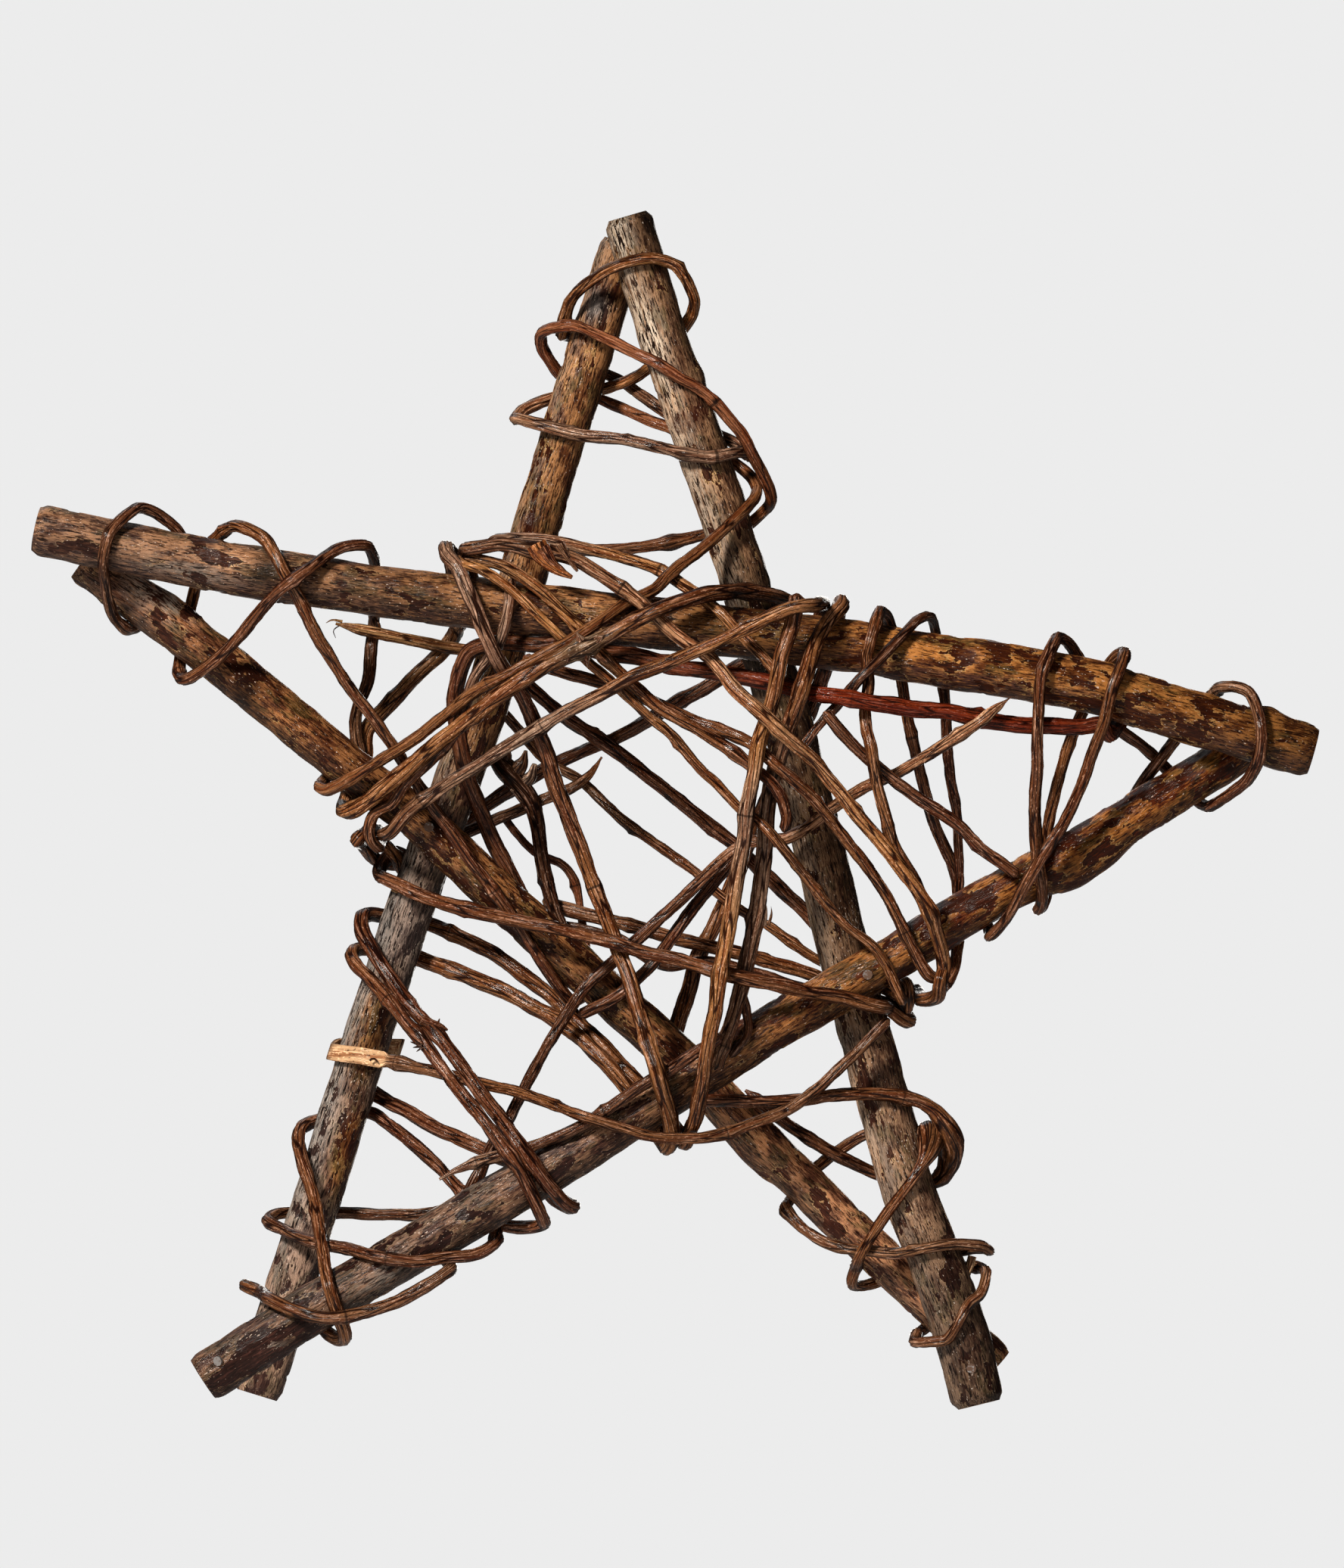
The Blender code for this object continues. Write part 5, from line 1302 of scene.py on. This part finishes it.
def knots_on(vine, line, half):
    """The knots of a vine as lumps on its near side."""
    return [
        (near_side(line, half, nearest(line, x, y, TO_FRONT), x, y, KNOT_REACH), *size)
        for x, y, *size in KNOTS.get(vine, [])]


def shoots_on(vine, line):
    """The side shoots of a vine: their lines, and the values on those lines."""
    lines, values = [], []
    for places, near_root, near_tip, root, tip, colour in SHOOTS.get(vine, []):
        depth = line[nearest(line, *places[0], TO_FRONT)][1]
        steps = np.linspace(near_root, near_tip, len(places)) * MM
        route = [on_star(x, y, depth - step) for (x, y), step in zip(places, steps)]
        shoot, way = smooth_line(route, SHOOT_STEP)
        share = way / way[-1]
        lines.append(shoot)
        values.append({
            "half": (root + (tip - root) * share ** SHOOT_TAPER) * MM, "shoot": share * 0 + 1,
            "tint": np.tile(colour, (len(way), 1)), **dict.fromkeys(("tone", "ring", "peel"), share * 0),
        })
    return lines, values


# %% Grow the vines
VINE_STEP = 0.0017
# How thick the skins are beside the plain solids, because strips and joints stand proud of them
SLIMMER = 0.93
# Vines that are thicker or thinner than that
THICKER = {
    "left_point": 1.16, "left_tip": 1.10, "left_leg": 1.12, "left_foot": 1.16, "right_foot": 1.08,
    "peeled": 1.10, "right_foot_hoop": 1.06, "centre": 0.95,
}
SLOW_SWELLING, SLOW_LENGTH = 0.05, 0.03
WANDER, WANDER_LENGTH, CALM_END = 0.00045, 0.014, 0.01
TONE_LENGTH = 0.08
# How thin a pointed end gets, as a share, and how full it stays on the way there
THINNEST, TAPER_POWER = 0.12, 0.7
JOINT_SEED, SWELLING_SEED, WANDER_SEED, TONE_SEED = 100, 200, 300, 400
FIRST_BARK_SEED, BARK_SEED_STEP = 3, 7
VINE_SETTINGS = {
    "Sides": 28, "Strips": VINE_STRIPS, "Strip Length": VINE_STRIP_LENGTH, "Strip Depth": 0.22, "Twist": 4.0,
    "Flake Size": 0.006, "Flake Depth": 0.0001, "Lump Size": 0.005, "Lump Depth": 0.00016,
}


def tapered(vine, half, way):
    """The half thickness of a vine whose ends may run out to points."""
    for length, distance in zip(TAPERS.get(vine, (0, 0)), (way, way[-1] - way)):
        half = half * np.clip(distance / max(length * MM, 1e-6), THINNEST, 1) ** TAPER_POWER
    return half


def wandering(line, way, seed):
    """A line that wanders a little, but not at its ends."""
    wander = np.column_stack([slow_noise(way, WANDER_LENGTH, seed + k) for k in range(3)])
    calm = np.clip(np.minimum(way, way[-1] - way) / CALM_END, 0, 1)[:, None]
    return line + WANDER * wander * calm


def grow_vine(index, name):
    """One finished vine."""
    vine = name.removesuffix("_vine")
    rng = np.random.default_rng(JOINT_SEED + index)
    centres = vine_tubes[name].mean(1)
    halves = norm(vine_tubes[name] - centres[:, None], axis=2).mean(1) * SLIMMER * THICKER.get(vine, 1)
    centres, halves = led_on(vine, centres, halves)
    line, way = smooth_line(centres, VINE_STEP)
    share, ring_ways = way / way[-1], summed(gaps_along(centres))
    half = np.interp(share, ring_ways / ring_ways[-1], halves)
    swelling, ring, lumps = joint_values(line, way, half, rng)
    swelling += SLOW_SWELLING * slow_noise(way, SLOW_LENGTH, SWELLING_SEED + index)
    half = tapered(vine, half, way)
    line = wandering(line, way, WANDER_SEED + 3 * index)
    lines, values = shoots_on(vine, line)
    values.insert(0, {
        "half": half * (1 + swelling), "tone": slow_noise(way, TONE_LENGTH, TONE_SEED + index), "ring": ring,
        "tint": between_stops(TINTS[vine], share), **dict.fromkeys(("peel", "shoot"), share * 0),
    })
    on_lines = {label: np.concatenate([part[label] for part in values]) for label in values[0]}
    settings = dict(VINE_SETTINGS, Seed=float(BARK_SEED_STEP * index + FIRST_BARK_SEED))
    piece = grow(name + "_bark", [line, *lines], on_lines, SKINS[slots[name]], VINE_END, settings)
    swell(piece, lumps + knots_on(vine, line, half))
    # How much each point is a flank, facing neither front nor back, for the painted shade there
    add_values(piece.data, "side", 1 - np.abs(outward_of(piece.data)[:, 1]))
    return piece


for index, name in enumerate(vine_names):
    pieces[name] = grow_vine(index, name)
print("vine faces:", sum(len(pieces[name].data.polygons) for name in vine_names))

# %% [markdown]
# ## The flat band
#
# One vine is split where it goes round the left leg: it's a flat, pale strip there, with square edges. We
# could model the strip by itself, but then it wouldn't pass into the vine, so we press the finished skin.
# Each point keeps its direction from the middle line, but is moved onto a flat rectangle that stands square
# to the leg.

# %% Press the split stretch flat
# How long the band is, how soon it passes into the vine, and half its width and thickness
BAND_END, BAND_BLEND = 0.066, 0.0012
BAND_WIDE, BAND_THICK = 0.0034, 0.0009


def press_flat(piece, stick):
    """Presses the first stretch of a vine into a flat strip that lies on a stick."""
    mesh = piece.data
    places, middles = read(mesh, "position"), read(mesh, "middle")
    line = smooth_line(stick_lines[stick][0], STICK_STEP)[0]
    axis = direction_of(line)
    away = middles - line[0]
    away -= np.outer(away @ axis, axis)
    thin = away / norm(away, axis=1)[:, None]
    offset = places - middles
    flat, wide = (offset * thin).sum(1), offset @ axis
    largest = np.maximum(np.maximum(np.abs(flat), np.abs(wide)), 1e-9)
    pressed = middles + thin * (flat / largest * BAND_THICK)[:, None]
    pressed = pressed + np.outer(wide / largest * BAND_WIDE, axis)
    share = np.clip((BAND_END - read(mesh, "along")) / BAND_BLEND, 0, 1) * (1 - read(mesh, "shoot"))
    add_values(mesh, "flat", share)
    share = share[:, None]
    write(mesh, "position", places * (1 - share) + pressed * share)
    mesh.update()


press_flat(pieces["peeled_vine"], "left_leg_stick")
print("band pressed over", BAND_END / MM, "mm")

# %% [markdown]
# ## Nails
#
# The nails are common steel ones, dull and a little rusty, and rustier towards the right of the star. Their
# solids are true already, so they stay and only get a finish: dark steel with brown spots of rust that are
# rough.

# %% The nail finish
STEEL, RUST = (0.26, 0.24, 0.23), (0.075, 0.036, 0.02)
# Where, from left to right, the nails get rustier, and how much more rust they have there
RUSTY_FROM, MORE_RUST = (-0.15, -0.08), 0.18


def nail_steel(name):
    """Dull steel with rust."""
    steel = Finish(name)
    place = steel.add("ShaderNodeTexCoord").outputs["Object"]
    spots = steel.noise(place, 700.0, 4.0)[0]
    across = steel.add("ShaderNodeSeparateXYZ", {0: place}).outputs["X"]
    rightward = steel.between(across, *RUSTY_FROM, 0.0, MORE_RUST)
    rust = steel.between(steel.maths("ADD", spots, rightward), 0.50, 0.66)
    for socket, value in (
        ("Base Color", steel.mix(rust, STEEL, RUST)),
        ("Metallic", steel.between(rust, 0.0, 1.0, 0.9, 0.2)),
        ("Roughness", steel.between(rust, 0.0, 1.0, 0.38, 0.75)),
        ("Normal", steel.bump(spots, 0.4, 0.2)),
    ):
        steel.join(value, steel.shader[socket])
    return steel.material


nail_finish = nail_steel("nail_steel_finish")
for name in nail_names:
    for slot in frame["nodes"][name].material_slots:
        slot.material = nail_finish
print("nails:", nail_names)

# %% [markdown]
# ## Handing over
#
# Every piece moves with the one body of the star and stands for its plain solid.

# %% Ride and replace
for name, piece in pieces.items():
    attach(piece, "root")
    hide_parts(name)

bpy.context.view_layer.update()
